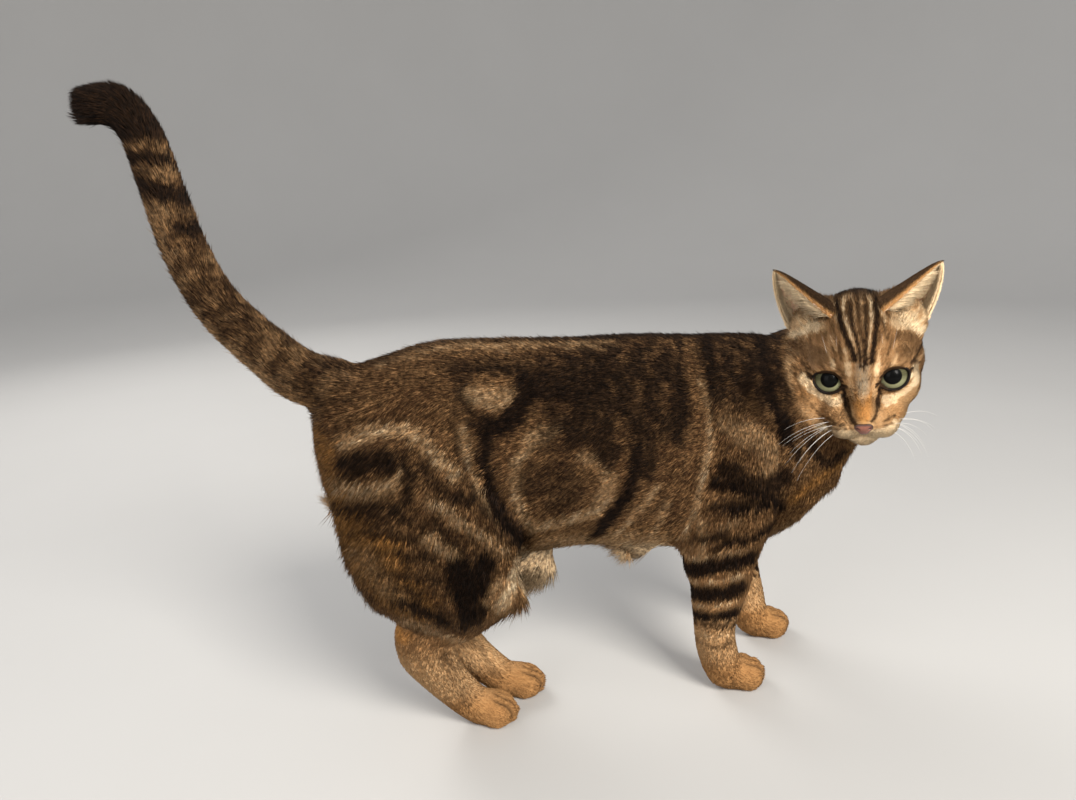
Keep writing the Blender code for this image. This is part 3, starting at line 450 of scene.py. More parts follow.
FACE_WARM = {
    "nose_top": (11.2, 0.80, ((0.3, -1.7), (0.1, -4.6))),
    "cheek_right": (8.5, 0.35, ((-34.7, -2.5), (-25.1, -11.7), (-14.2, -10.7))),
    "cheek_left": (6.8, 0.35, ((14, -9.4), (20.1, -12.3), (18.1, -12.1))),
    "ear_low_right": (6.1, 0.45, ((-40.6, 28.2), (-32.5, 32.3), (-23.5, 35.3))),
}
FACE_GREY = {
    "bridge": (6.8, 0.95, ((1.1, 16.9), (1.1, 10), (1, 3.5))),
}

# Side of the head in millimetres: width, strength, then points (forward, up), the same on both sides
CHEEK_DARK = {
    "upper": (3.2, 0.9, ((14, 8), (2, 9), (-12, 6), (-24, 0))),
    "middle": (3.0, 0.8, ((18, -8), (6, -6), (-8, -6), (-22, -12))),
    "lower": (3.0, 0.7, ((20, -16), (6, -16), (-8, -18))),
}

# Coat along each limb, from the first station to the last: tuft length, depth of the coat, tuft width
TRUNK_FUR = ((0.0100, 0.0092, 0.0085, 0.0085, 0.0090), (0.0042,), (0.0009,))
NECK_FUR = ((0.0095, 0.0095, 0.0085), (0.0042, 0.0040, 0.0032), (0.0009, 0.0009))
ARM_FUR = ((0.0088, 0.0076, 0.0060, 0.0050, 0.0044, 0.0040, 0.0038, 0.0036, 0.0034),
           (0.0038, 0.0034, 0.0026, 0.0020, 0.0016, 0.0013, 0.0011, 0.0010, 0.0009),
           (0.0009, 0.0008, 0.0007, 0.0006, 0.0006))
THIGH_FUR = ((0.0095, 0.0095, 0.0090, 0.0080, 0.0068), (0.0042, 0.0042, 0.0038, 0.0030, 0.0024), (0.0009,))
SHANK_FUR = ((0.0072, 0.0064, 0.0056, 0.0050, 0.0045, 0.0040, 0.0038, 0.0034),
             (0.0026, 0.0022, 0.0018, 0.0015, 0.0012, 0.0011, 0.0010, 0.0009), (0.0008, 0.0006, 0.0006))
TAIL_FUR = ((0.0100, 0.0090, 0.0082, 0.0078, 0.0075), (0.0040, 0.0036, 0.0034, 0.0032, 0.0030), (0.0009,))
PAW_FUR = ((0.0034, 0.0028), (0.0009, 0.0006), (0.00055,))

# The head's coat read against the place forward of the skull's middle
HEAD_PLACES = (-0.040, -0.010, 0.015, 0.030, 0.045)
HEAD_LENGTHS = (0.0095, 0.0070, 0.0050, 0.0035, 0.0025)
HEAD_DEPTHS = (0.0036, 0.0026, 0.0014, 0.0009, 0.0006)
HEAD_WIDTHS = (0.0009, 0.0008, 0.00062, 0.0005, 0.00045)
HEAD_OVAL = ((-0.001, 0.0, 0.002), (0.050, 0.044, 0.046))
NOSE_SOURCE = (0.052, 0.0, -0.010)

# How fast a limb's hold on the coat fades with distance, the head's greater hold, and the belly's longer fur
COAT_FADE = 9
HEAD_HOLD = 2.6
BELLY_LONGER = 0.30
CALM_LENGTHS = (0.0052, 0.0085)

# Soft noise: waves, the spread of their lengths, the turn of their starts, and what their sum is divided by
WAVES = 8
WAVE_SPREAD = (0.7, 1.4)
WAVE_TURN = 6.28
WAVE_SUM = 3.2

# Tufts: spread of their lengths, rises and widths, the few that stand off, and how the fur drifts aside, as
# noise size, seed and strength
LENGTH_SPREAD = (0.75, 1.10)
RISE_SPREAD = (0.45, 1.0)
RISE_SHARE = 0.85
WIDTH_SPREAD = (0.65, 1.15)
STRAY_CHANCE = 0.035
STRAY_LENGTHS = (0.004, 0.007)
STRAY_RISE = 0.20
STRAY_WIDTH = 0.45
DRIFTS = ((0.035, 71, 0.16), (0.012, 72, 0.12))
TUFT_SWING = 9

# Fine sizes of the skin and the tufts; a tuft's patch is a share of the OFBake map
SKIN_VOXEL = 0.0024
SKIN_SOFTENING = 7
TUFT_PATCH = 0.003
TOE_CLEFT = 0.0011
TOE_CLEFT_DEPTH = 0.0024
TUFT_SUNK = 0.0005
FLOOR_CLEARANCE = 0.0004
SOLE_HEIGHT = 0.0022
CAP_DEPTH = 0.6
TUFT_TOP = 0.30
COAT_SEED = 500

# Where the belly's piece ends above and the face's begins; and where the skin has finer faces: on the head,
# ahead of one place and within one reach, and at the toes, above one depth of a cleft and below one height
BELLY_TOP = 0.135
FACE_START = 0.006
FINE_FACE = (0.012, 0.075)
FINE_TOES = (0.02, 0.025)

# Zones of the body's markings: from where to where each one comes in, in metres
SPINE_REACH = (-0.165, 0.110)
SPINE_ABOVE = 0.19
SPINE_HALF_WIDTH = (0.004, 0.009)
SPINE_DARKER = (-0.12, 0.0)
UPPER_FLANK = ((-0.085, -0.050), (0.020, 0.035), (0.180, 0.200), (0.240, 0.252))
SHOULDER = ((0.030, 0.050), (0.185, 0.210))
RUMP = ((-0.11, -0.08), (0.15, 0.19))
BELLY_ABOVE = (0.085, 0.10)
LEG_LOW = (0.050, 0.085)
FOOT_LOW = (0.016, 0.034)
INNER_LEG_TOP = (0.12, 0.15)
TAIL_PALE_TOP = (0.26, 0.30)
TAIL_TIP = (0.372, 0.380)
STRIDE_FADE = (0.085, 0.125)
# How far the markings' lines are warped on each side, in millimetres
LEFT_WARP = 4.5
RIGHT_WARP = 0.8

# Zones of the head's markings in millimetres of its own frame
FACE_AHEAD = (-16, -6)
FACE_TICKED = (-4, 8)
FACE_BESIDE = (24, 30)
CROWN_BEHIND = (-13, -5)
CROWN_ABOVE = (5, 18)
CROWN_STRIPE = 8.5
LID_EDGE = (-1.7, -0.9)
# Shares of the head's coat between which the body's markings fade into the head's
FACE_SHARE = (0.25, 0.50)

# Tufts in each piece of the coat
TUFTS = {
    "coat_face": 46000, "coat_crown": 22000, "coat_neck": 32000, "coat_flank_right": 45000,
    "coat_flank_left": 40000, "coat_belly": 16000, "coat_thigh_right": 25000, "coat_thigh_left": 22000,
    "coat_foreleg_right": 21000, "coat_foreleg_left": 17000, "coat_hind_leg_right": 15000,
    "coat_hind_leg_left": 13000, "coat_tail": 24000,
}

# Colours of the coat, light and dark, and of the bare skin
BLACK_BROWN = (0.012, 0.0065, 0.0038)
TICKED_BROWN = (0.132, 0.061, 0.025)
TICKED_TAN = (0.500, 0.276, 0.118)
SAND = (0.720, 0.485, 0.262)
CREAM = (0.900, 0.700, 0.450)
OCHRE = (0.700, 0.330, 0.085)
ASH = (0.400, 0.325, 0.225)
UNDERCOAT = (0.30, 0.25, 0.22)

SIDES = {-1: "right", 1: "left"}

# Where the eyes look in the head's frame, how the cornea stands out, the eyeball's grid, the pupil and the
# iris as shares of its radius, and the dark rim of the lids
EYE_GAZE = (0.86, 0.03, 0.47)
CORNEA_RISE = 0.0005
CORNEA_TURN = 0.42
EYE_RINGS = 44
EYE_SIDES = 56
PUPIL_EDGE = 0.50
IRIS_EDGE = 0.84
LID_RIM = 0.0009
LID_RIM_OUT = 0.62
LID_RIM_GAP = 0.0002
LID_RIM_STEPS = 72
LID_RIM_SIDES = 10

# The nose's leather: half width, half height and crown of its face, its place and its tilt
NOSE_LEATHER = (0.0051, 0.0043, 0.0016)
NOSE_LEATHER_PLACE = (0.0492, 0.0, -0.0138)
NOSE_TILT = 8
NOSE_CORNERS = 0.15
NOSE_BACK = 0.0045
NOSE_RINGS = (18, 6)
NOSE_SIDES = 60
# Nostrils: place across, half width, half height, slope and depth; and the slit's half width, reach and depth
NOSTRIL = (0.0034, 0.0011, 0.0007, 0.25, 0.0016)
NOSE_SLIT = (0.0004, (0.0008, 0.0030), 0.0006)
EAR_COAT = 0.0009

# Fur of an ear: count, heights, turns from the outer edge (-1) to the crown's (1), whether inside, length,
# width, rise
EAR_FUR = (
    (8000, -0.10, 0.97, -1.0, 1.0, 0, 0.0046, 0.0006, 0.0009),
    (1200, 0.00, 0.96, 0.88, 1.0, 1, 0.0030, 0.0004, 0.0008),
    (3000, -0.05, 0.96, -1.0, -0.72, 1, 0.0060, 0.0005, 0.0022),
    (2200, -0.05, 0.96, -1.0, -0.965, 0.5, 0.0048, 0.0007, 0.0009),
    (2600, 0.00, 0.90, -0.80, 0.88, 1, 0.0060, 0.0004, 0.0014),
)

# Long hairs inside an ear: count, heights, turns as above, how far they lie outwards, lengths
INNER_HAIRS = (
    (1300, 0.00, 0.70, 0.55, 0.99, 0.40, 1.30, 0.010, 0.018),
    (700, 0.00, 0.60, -0.96, -0.76, 0.05, 0.25, 0.003, 0.005),
)
INNER_HAIR_WIDTH = 0.00045
INNER_HAIR_RISE = 0.0010

# Whiskers: thickness, how deep they start in the pad, the first one's place forward and up, and the way they
# reach on each side, along the body and across it
WHISKER_THICK = 0.00010
BROW_HAIR_THICK = 0.00007
PAD_SUNK = 0.0012
WHISKER_START = (0.0350, -0.0150)
WHISKER_WAY = {-1: (-0.97, 0.10), 1: (0.98, 0.12)}

# The nodes that the one skin takes the place of
FLESH = ("torso", "neck", "head", "upper_arm_left", "upper_arm_right", "forearm_left", "forearm_right",
         "forepaw_left", "forepaw_right", "thigh_left", "thigh_right", "lower_leg_left", "lower_leg_right",
         "hind_paw_left", "hind_paw_right", "tail_base", "tail_middle", "tail_upper", "tail_tip")

# Colours of the eyes, the nose, the ears' skin, the lids, the whiskers, the floor and the room's light
IRIS_GREEN = (0.048, 0.048, 0.026)
IRIS_AMBER = (0.090, 0.084, 0.042)
# painted light: the iris's lighter lower part, below the lid's painted shadow
IRIS_PAINTED_LIGHT = (0.240, 0.235, 0.130)
IRIS_RIM = (0.010, 0.010, 0.006)
# the pupils' own black, also used for the nostrils' painted shade
PUPIL_BLACK = (0.002, 0.002, 0.002)
EYE_WHITE = (0.030, 0.022, 0.016)
NOSE_ROSE = (0.250, 0.090, 0.058)
NOSE_BRICK = (0.165, 0.058, 0.036)
NOSE_DARK = (0.040, 0.016, 0.011)
EAR_ROSE = (0.840, 0.500, 0.370)
EAR_CREAM = (0.880, 0.640, 0.480)
EAR_DEEP = (0.500, 0.260, 0.180)
LID_BLACK = (0.006, 0.0045, 0.004)
LID_BROWN = (0.014, 0.010, 0.008)
WHISKER_WHITE = (0.82, 0.80, 0.76)
WHISKER_GREY = (0.70, 0.67, 0.62)
FLOOR_PALE = (0.47, 0.465, 0.455)
FLOOR_PALER = (0.50, 0.495, 0.485)
ROOM_TINT = (0.93, 0.95, 1.0)
ROOM_LIGHT = 0.50

# The camera in the animal's frame: its place, and its right, up and back directions
CAMERA_PLACE = (-0.165, -0.4805, 0.342)
CAMERA_AXES = ((0.971, -0.2315, -0.0592), (0.1149, 0.2353, 0.9651), (-0.2095, -0.944, 0.255))
CAMERA_LENS = 26.966

# Soft lights: place, aim, size, power, tint
LIGHTS = {
    "key": ((0.45, -1.40, 1.20), (0.0, 0.0, 0.18), 0.7, 50.0, (1.0, 0.955, 0.885)),
    "fill": ((-1.50, -0.90, 0.70), (0.0, 0.0, 0.16), 1.2, 13.0, (1.0, 0.98, 0.96)),
    "rim": ((-0.60, 1.30, 1.30), (0.0, 0.0, 0.22), 1.0, 18.0, (1.0, 0.97, 0.93)),
}
# The floor: its flat rings, the edge of the flat part, where the wall stands, how high, and its sides
FLOOR_RINGS = (0.02, 0.6, 1.3)
FLOOR_FLAT = 1.9
FLOOR_WALL = 3.1
FLOOR_HEIGHT = 2.2
FLOOR_SIDES = 96


def through(rows, steps=6):
    """Rows read at even steps along a curve that passes through each of them (Catmull-Rom)."""
    rows = np.asarray(rows, float)
    padded = np.vstack([2 * rows[0] - rows[1], rows, 2 * rows[-1] - rows[-2]])
    t = np.linspace(0, 1, steps, endpoint=False)[:, None]
    pieces = [0.5 * (2 * b + (c - a) * t + (2 * a - 5 * b + 4 * c - d) * t**2
                     + (3 * b - a - 3 * c + d) * t**3)
              for a, b, c, d in zip(padded[:-3], padded[1:-2], padded[2:-1], padded[3:])]
    return np.vstack([*pieces, rows[-1:]])


def unit(vectors):
    """Each vector divided by its own length."""
    return vectors / np.maximum(np.linalg.norm(vectors, axis=-1, keepdims=True), 1e-9)


def smooth(low, high, value):
    """0 below low, 1 above high, and a soft step between."""
    t = np.clip((value - low) / (high - low), 0, 1)
    return t * t * (3 - 2 * t)


def turned(axis, degrees):
    """The turn by that many degrees about an axis, as three columns."""
    return np.array(Matrix.Rotation(math.radians(degrees), 3, axis))


def ripple(points, size, seed):
    """Soft noise between about -1 and 1: a sum of sine waves of about one length in drawn directions."""
    draw = np.random.default_rng(seed)
    ways = unit(draw.normal(size=(WAVES, 3)))
    waves = ways * (2 * math.pi / size) * draw.uniform(*WAVE_SPREAD, (WAVES, 1))
    return np.sin(points @ waves.T + draw.uniform(0, WAVE_TURN, WAVES)).sum(axis=1) / WAVE_SUM


def head_axes():
    """Columns: out of the nose, to the cat's left, out of the crown."""
    turn, bow, lean = (math.radians(value) for value in (HEAD_TURN, HEAD_BOW, HEAD_LEAN))
    forward = np.array((math.cos(turn) * math.cos(bow), math.sin(turn) * math.cos(bow), -math.sin(bow)))
    level = np.array((-math.sin(turn), math.cos(turn), 0.0))
    left = level * math.cos(lean) + np.cross(forward, level) * math.sin(lean)
    return np.stack([forward, left, np.cross(forward, left)], axis=1)


HEAD_AXES = head_axes()
HEAD_MIDDLE = np.array(HEAD_CENTRE)


def from_head(points):
    """Places of the head's own frame in the animal's."""
    return HEAD_MIDDLE + np.asarray(points, float) @ HEAD_AXES.T


def to_head(points):
    """Places of the animal's frame in the head's own."""
    return (points - HEAD_MIDDLE) @ HEAD_AXES


def sided(values, side):
    """The same place on the left (1) or mirrored to the right (-1)."""
    return np.array((values[0], values[1] * side, values[2]))


def eye_centre(side):
    """The middle of one eyeball in the animal's frame."""
    return from_head(sided(EYE_PLACE, side))


def eye_axes(side):
    """Columns: out of the opening, along it to the cat's left, and up across it."""
    aside = turned("Z", EYE_TURN_OUT * side)
    return HEAD_AXES @ aside @ turned("Y", -EYE_TURN_UP) @ turned("X", EYE_SLANT * side)


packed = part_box("eye_right")
STAND = (np.array(packed[0]) + np.array(packed[1])) / 2 - eye_centre(-1)


def new_mesh(name, points, faces):
    """A mesh from whole arrays: places in the animal's frame, and faces that all have the same corners."""
    mesh = bpy.data.meshes.new(name)
    faces = np.asarray(faces, np.int32)
    placed = np.asarray(points, float) + STAND
    starts = np.arange(0, faces.size, faces.shape[1], dtype=np.int32)
    mesh.vertices.add(len(placed))
    mesh.vertices.foreach_set("co", placed.astype(np.float32).ravel())
    mesh.loops.add(faces.size)
    mesh.loops.foreach_set("vertex_index", faces.ravel())
    mesh.polygons.add(len(faces))
    mesh.polygons.foreach_set("loop_start", starts)
    mesh.polygons.foreach_set("use_smooth", np.ones(len(faces), bool))
    mesh.update(calc_edges=True)
    return mesh


def new_object(name, mesh, material):
    """An object at the origin that shows the mesh in one material."""
    obj = bpy.data.objects.new(name, mesh)
    bpy.context.scene.collection.objects.link(obj)
    mesh.materials.append(material)
    return obj


def colour_attribute(mesh, name, values):
    """Four values for each point, read by the materials under that name."""
    attribute = mesh.attributes.new(name, "FLOAT_COLOR", "POINT")
    attribute.data.foreach_set("color", np.asarray(values, np.float32).ravel())


def section_axes(rows):
    """Along the path, to its left, and square to both."""
    along = unit(np.gradient(rows[:, :3], axis=0))
    side = unit(np.array([0.0, 1.0, 0.0]) - along * along[:, 1:2])
    return along, side, np.cross(along, side)


def domed(rows, turns=(25, 50, 70, 84)):
    """The rows with a rounded cap before the first and after the last: steps of sine out, cosine in size."""
    caps = []
    for end, inner in ((rows[0], rows[1]), (rows[-1], rows[-2])):
        turn = np.radians(turns)[:, None]
        cap = np.repeat(end[None], len(turns), axis=0)
        cap[:, :3] += unit(end[:3] - inner[:3]) * np.sin(turn) * CAP_DEPTH * min(end[3], end[4])
        cap[:, 3:5] *= np.cos(turn)
        caps.append(cap)
    return np.vstack([caps[0][::-1], rows, caps[1]])


def ring_grid(rows, sides):
    """Oval sections square to a path: centre + fore size * cos + side size * sin."""
    along, side, fore = section_axes(rows)
    angle = np.linspace(0, 2 * math.pi, sides, endpoint=False)[None, :, None]
    return (rows[:, None, :3] + rows[:, None, 3:4] * np.cos(angle) * fore[:, None]
            + rows[:, None, 4:5] * np.sin(angle) * side[:, None])


def trunk_grid(sides=40):
    """Upright sections: width = half width * cos * (1 - fullness * sin), height = half height * sin."""
    rows = domed(trunk_rows(6))
    angle = np.linspace(0, 2 * math.pi, sides, endpoint=False)[None, :]
    x = np.broadcast_to(rows[:, :1], (len(rows), sides))
    y = rows[:, 4:5] * np.cos(angle) * (1 - BELLY_FULLNESS * np.sin(angle))
    return np.stack([x, y, rows[:, 2:3] + rows[:, 3:4] * np.sin(angle)], axis=2)


def trunk_rows(steps):
    """The torso's stations as middle, half height and half width, read between them too."""
    rows = np.array([(x, 0.0, (top + low) / 2, (top - low) / 2, half) for x, top, low, half in TORSO])
    return through(rows, steps)


def ball_grid(centre, radii, rings=16, sides=24):
    """A ball by latitude and longitude, stretched to its three radii about its centre."""
    high = np.linspace(-math.pi / 2, math.pi / 2, rings + 2)[1:-1, None]
    turn = np.linspace(0, 2 * math.pi, sides, endpoint=False)[None, :]
    parts = np.broadcast_arrays(np.cos(high) * np.cos(turn), np.cos(high) * np.sin(turn), np.sin(high))
    return np.asarray(centre) + np.stack(parts, -1) * np.asarray(radii)


def tube_faces(rings, sides):
    """Four-cornered faces between neighbouring rings of a grid that closes on itself."""
    low = (np.arange(rings - 1)[:, None] * sides + np.arange(sides)[None, :]).ravel()
    after = (np.arange(rings - 1)[:, None] * sides + (np.arange(sides)[None, :] + 1) % sides).ravel()
    return np.stack([low, after, after + sides, low + sides], axis=1)


def closed_by_fans(grid):
    """Points and three-cornered faces of a ring grid with a middle point added at each end."""
    rings, sides = grid.shape[:2]
    points = np.vstack([grid.reshape(-1, 3), grid[0].mean(axis=0), grid[-1].mean(axis=0)])
    quads = tube_faces(rings, sides)
    around = np.arange(sides)
    after = (around + 1) % sides
    first = np.stack([after, around, np.full(sides, rings * sides)], axis=1)
    base = (rings - 1) * sides
    last = np.stack([base + around, base + after, np.full(sides, rings * sides + 1)], axis=1)
    return points, np.vstack([quads[:, [0, 1, 2]], quads[:, [0, 2, 3]], first, last])


def outwards(mesh):
    """Turns the faces of a closed mesh outwards where its volume comes out negative."""
    points = vertex_places(mesh)[triangles_of(mesh)]
    volume = np.einsum("ij,ij->i", points[:, 0], np.cross(points[:, 1], points[:, 2])).sum()
    if volume < 0:
        mesh.flip_normals()
    return mesh


def vertex_places(mesh):
    """The mesh's points as rows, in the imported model's frame."""
    places = np.zeros(len(mesh.vertices) * 3, np.float32)
    mesh.vertices.foreach_get("co", places)
    return places.reshape(-1, 3).astype(float)


def paw_rows(name):
    """Two stations from the heel to the toes of one paw."""
    x, y = PAW_PLACE[name]
    turn = math.radians(PAW_TURN[name])
    ahead = np.array((math.cos(turn), math.sin(turn), 0.0))
    return np.array([(*(np.array((x, y, height)) + ahead * reach), high, wide)
                     for reach, height, high, wide in PAW_STATIONS])


# Every limb: its stations, its coat, whether the fur lies along or against the stations, and an added pull
LIMBS = {
    "trunk": (trunk_rows(4), TRUNK_FUR, -1, (0.0, 0.0, -0.30)),
    "neck": (through(NECK, 4), NECK_FUR, -1, (0.0, 0.0, -0.15)),
    "chest": (through(CHEST, 4), NECK_FUR, -1, (0.0, 0.0, -0.90)),
    "foreleg_right": (through(RIGHT_FORELEG, 4), ARM_FUR, 1, (-0.15, 0.0, 0.0)),
    "foreleg_left": (through(LEFT_FORELEG, 4), ARM_FUR, 1, (-0.15, 0.0, 0.0)),
    "thigh_right": (through(RIGHT_THIGH, 4), THIGH_FUR, 1, (-0.85, 0.0, -0.10)),
    "thigh_left": (through(LEFT_THIGH, 4), THIGH_FUR, 1, (-0.85, 0.0, -0.10)),
    "shank_right": (through(RIGHT_SHANK, 4), SHANK_FUR, 1, (0.0, 0.0, -0.20)),
    "shank_left": (through(LEFT_SHANK, 4), SHANK_FUR, 1, (0.0, 0.0, -0.20)),
    "tail": (through(TAIL, 4), TAIL_FUR, 1, (0.0, 0.0, 0.0)),
    **{f"paw_{name}": (through(paw_rows(name), 4), PAW_FUR, 1, (0.0, 0.0, -0.15)) for name in PAW_PLACE},
}
LIMB_NAMES = list(LIMBS)


def against(points, rows):
    """For each point: how far out of the nearest section it is, that section, and its place round and
    along the limb."""
    along, side, fore = section_axes(rows)
    offset = points[:, None] - rows[None, :, :3]
    thick = (rows[:, 3] + rows[:, 4]) / 2
    run = np.einsum("nki,ki->nk", offset, along)
    across = np.einsum("nki,ki->nk", offset, side) / rows[:, 4]
    up = np.einsum("nki,ki->nk", offset, fore) / rows[:, 3]
    out = np.sqrt((run / thick) ** 2 + across**2 + up**2)
    nearest = out.argmin(axis=1)
    pick = np.arange(len(points)), nearest
    steps = np.linalg.norm(np.diff(rows[:, :3], axis=0), axis=1)
    travelled = np.concatenate([[0], np.cumsum(steps)])
    place = (travelled[nearest] + run[pick]) / travelled[-1]
    return out[pick], nearest, np.arctan2(across[pick], up[pick]) / (2 * math.pi) + 0.5, place


def flattened(flow, normals):
    """The part of each direction that lies in the surface."""
    return flow - normals * np.einsum("ij,ij->i", flow, normals)[:, None]


def coats_near(points):
    """For each limb, and last the head: its weight at each point, exp(-COAT_FADE * distance from its nearest
    section), the way its fur lies, and the fur's length, depth and width there."""
    for rows, fur, sense, pull in LIMBS.values():
        out, nearest, _, _ = against(points, rows)
        along = section_axes(rows)[0][nearest] * sense
        share = nearest / (len(rows) - 1)
        measures = [np.interp(share, np.linspace(0, 1, len(values)), values) for values in fur]
        yield np.exp(-COAT_FADE * out), unit(along + np.array(pull)), measures
    local = to_head(points)
    out = np.linalg.norm((local - HEAD_OVAL[0]) / HEAD_OVAL[1], axis=1)
    away = unit(local - np.array(NOSE_SOURCE)) @ HEAD_AXES.T
    measures = [np.interp(local[:, 0], HEAD_PLACES, values)
                for values in (HEAD_LENGTHS, HEAD_DEPTHS, HEAD_WIDTHS)]
    yield np.exp(-COAT_FADE * out) * HEAD_HOLD, away, measures


def lie_of_coat(points, normals):
    """The fur's direction, length, depth and width at each point, and the share of it that each limb and the
    head have, with the hanging fur, the back of the thighs and the belly added."""
    total = np.zeros(len(points))
    flow = np.zeros((len(points), 3))
    measures = np.zeros((len(points), 3))
    weights = []
    for weight, way, values in coats_near(points):
        flow += weight[:, None] * way
        measures += weight[:, None] * np.stack(values, axis=1)
        weights.append(weight)
        total += weight
    measures /= total[:, None]
    flow = flattened(flow, normals)
    hanging = fringe(points)
    breech = behind_thigh(points) * (1 - hanging)
    for amount, way, longer, deeper in ((hanging, FRINGE_WAY, FRINGE_LENGTH, 0.0),
                                        (breech, BREECH_WAY, BREECH_LENGTH, BREECH_DEPTH)):
        flow += (amount * total)[:, None] * np.array(way)
        flow = flattened(flow, normals)
        measures[:, 0] += longer * amount
        measures[:, 1] += deeper * amount
    shares = np.stack(weights, axis=1) / total[:, None]
    under = smooth(0.4, 0.9, -normals[:, 2]) * smooth(0.07, 0.10, points[:, 2])
    measures[:, 0] *= 1 + BELLY_LONGER * under * (1 - shares[:, -1])
    return unit(flow), measures, shares


def behind_thigh(points):
    """How much of the longer fur down the back edge of the thighs each point belongs to, from 0 to 1."""
    tall = smooth(*BREECH_LOW, points[:, 2]) * (1 - smooth(*BREECH_HIGH, points[:, 2]))
    return tall * (1 - smooth(*BREECH_BACK, points[:, 0]))


def near_line(flat, line):
    """Distance from each flat point to a line of straight stretches."""
    line = np.atleast_2d(np.asarray(line, float))
    nearest = np.linalg.norm(flat - line[0], axis=1)
    for start, end in zip(line[:-1], line[1:]):
        run = end - start
        share = np.clip((flat - start) @ run / (run @ run), 0, 1)
        nearest = np.minimum(nearest, np.linalg.norm(flat - start - share[:, None] * run, axis=1))
    return nearest


def drawn(flat, strokes, soft, ragged):
    """How strongly the strokes cover each point, from 0 to 1, with a soft and ragged edge."""
    cover = np.zeros(len(flat))
    for width, strength, line in strokes.values():
        out = near_line(flat, line) - width / 2 + ragged
        cover = np.maximum(cover, strength * (1 - smooth(-soft, soft, out)))
    return cover


def unstrided(points):
    """The left legs' points moved along X onto the right legs' stride, so that both wear the same bars."""
    moved = points[:, 0].copy()
    left = points[:, 1] > 0
    height = points[:, 2]
    for right_leg, left_leg, reach in ((RIGHT_FORELEG, LEFT_FORELEG, points[:, 0] > 0),
                                       (RIGHT_SHANK, LEFT_SHANK, points[:, 0] < -0.05)):
        own, other = np.array(left_leg)[::-1], np.array(right_leg)[::-1]
        stride = np.interp(height, own[:, 2], own[:, 0]) - np.interp(height, other[:, 2], other[:, 0])
        fade = 1 - smooth(*STRIDE_FADE, height)
        moved -= np.where(left & reach, stride * fade, 0)
    return moved


def body_marks(points, normals, shares):
    """Dark, pale, warm and ash amounts on the trunk, legs and tail, with painted shade in the clefts between
    the toes.
    The left side's strokes are warped more, so that it isn't the right side's mirror image."""
    tail = shares[:, LIMB_NAMES.index("tail")]
    flat = np.stack([unstrided(points), points[:, 2]], axis=1) * 1000
    warp = np.stack([ripple(points, 0.030, 11), ripple(points, 0.030, 12)], axis=1)
    flat += warp * np.where(points[:, 1] > 0, LEFT_WARP, RIGHT_WARP)[:, None]
    ragged = ripple(points, 0.007, 21) * 1.3 + ripple(points, 0.0025, 22) * 0.7
    speck = smooth(-0.5, 0.8, ripple(points, 0.0060, 31) + 0.6 * ripple(points, 0.0028, 32))
    dark = drawn(flat, DARK_STROKES, 2.6, ragged)
    pale = drawn(flat, PALE_STROKES, 3.0, ragged) * (0.70 + 0.30 * speck)
    warm = drawn(flat, WARM_STROKES, 4.0, ragged)
    dark, pale = spine_marks(points, normals, ragged, dark, pale)
    dark = shaded_zones(points, tail, speck, dark)
    pale, warm = under_marks(points, normals, shares, ragged, pale, warm)
    dark, pale = tail_marks(points, normals, tail, ragged, dark, pale)
    hanging = fringe(points)
    pale = np.maximum(pale, 0.80 * hanging)
    dark *= 1 - hanging
    warm = np.maximum(warm, hanging * np.where(points[:, 0] > -0.03, 0.90, 0.42))
    # painted shade: the clefts between the toes are darkened
    dark = np.maximum(dark, 0.90 * toe_grooves(points)[0])
    return dark, pale * (1 - 0.7 * dark), warm * (1 - dark), np.zeros(len(points))


def fringe(points):
    """How much of the hanging fur of the groin, elbow and knee each point belongs to, from 0 to 1."""
    near = [1 - smooth(*FRINGE_EDGE, np.linalg.norm((points - centre) / radii, axis=1))
            for centre, radii in (*BELLY_FUR.values(), KNEE_FUR)]
    return np.max(near, axis=0)


def spine_marks(points, normals, ragged, dark, pale):
    """A dark stripe along the spine, beside which the bands of the flank fade out."""
    x, y, z = points.T
    trunk = (x > SPINE_REACH[0]) & (x < SPINE_REACH[1]) & (z > SPINE_ABOVE)
    topped = smooth(0.6, 0.85, normals[:, 2]) * trunk
    low, high = (edge * 1000 for edge in SPINE_HALF_WIDTH)
    spine = (1 - smooth(low, high, np.abs(y) * 1000 + ragged)) * smooth(0.5, 0.8, normals[:, 2]) * trunk
    spine *= 0.55 + 0.40 * smooth(*SPINE_DARKER, x)
    dark = np.maximum(dark * (1 - topped * (x < SHOULDER[0][0])), spine)
    return dark, pale * (1 - spine)


def shaded_zones(points, tail, speck, dark):
    """The dark ground of the upper flank, the shoulder and the rump, broken by paler specks."""
    x, _, z = points.T
    from_x, to_x, from_z, to_z = UPPER_FLANK
    upper = smooth(*from_x, x) * (1 - smooth(*to_x, x))
    upper *= smooth(*from_z, z) * (1 - smooth(*to_z, z)) * (1 - tail)
    streaks = smooth(0.1, 0.9, ripple(points * (1.0, 1.0, 0.35), 0.011, 35) + 0.5 * speck)
    dark = np.maximum(dark, 0.92 * upper * (1 - 0.45 * streaks))
    shoulder = smooth(*SHOULDER[0], x) * smooth(*SHOULDER[1], z)
    dark = np.maximum(dark, 0.92 * shoulder * (1 - 0.40 * streaks))
    rump = (1 - smooth(*RUMP[0], x)) * (1 - tail) * smooth(*RUMP[1], z)
    return np.maximum(dark, 0.16 * rump * (1 - speck))


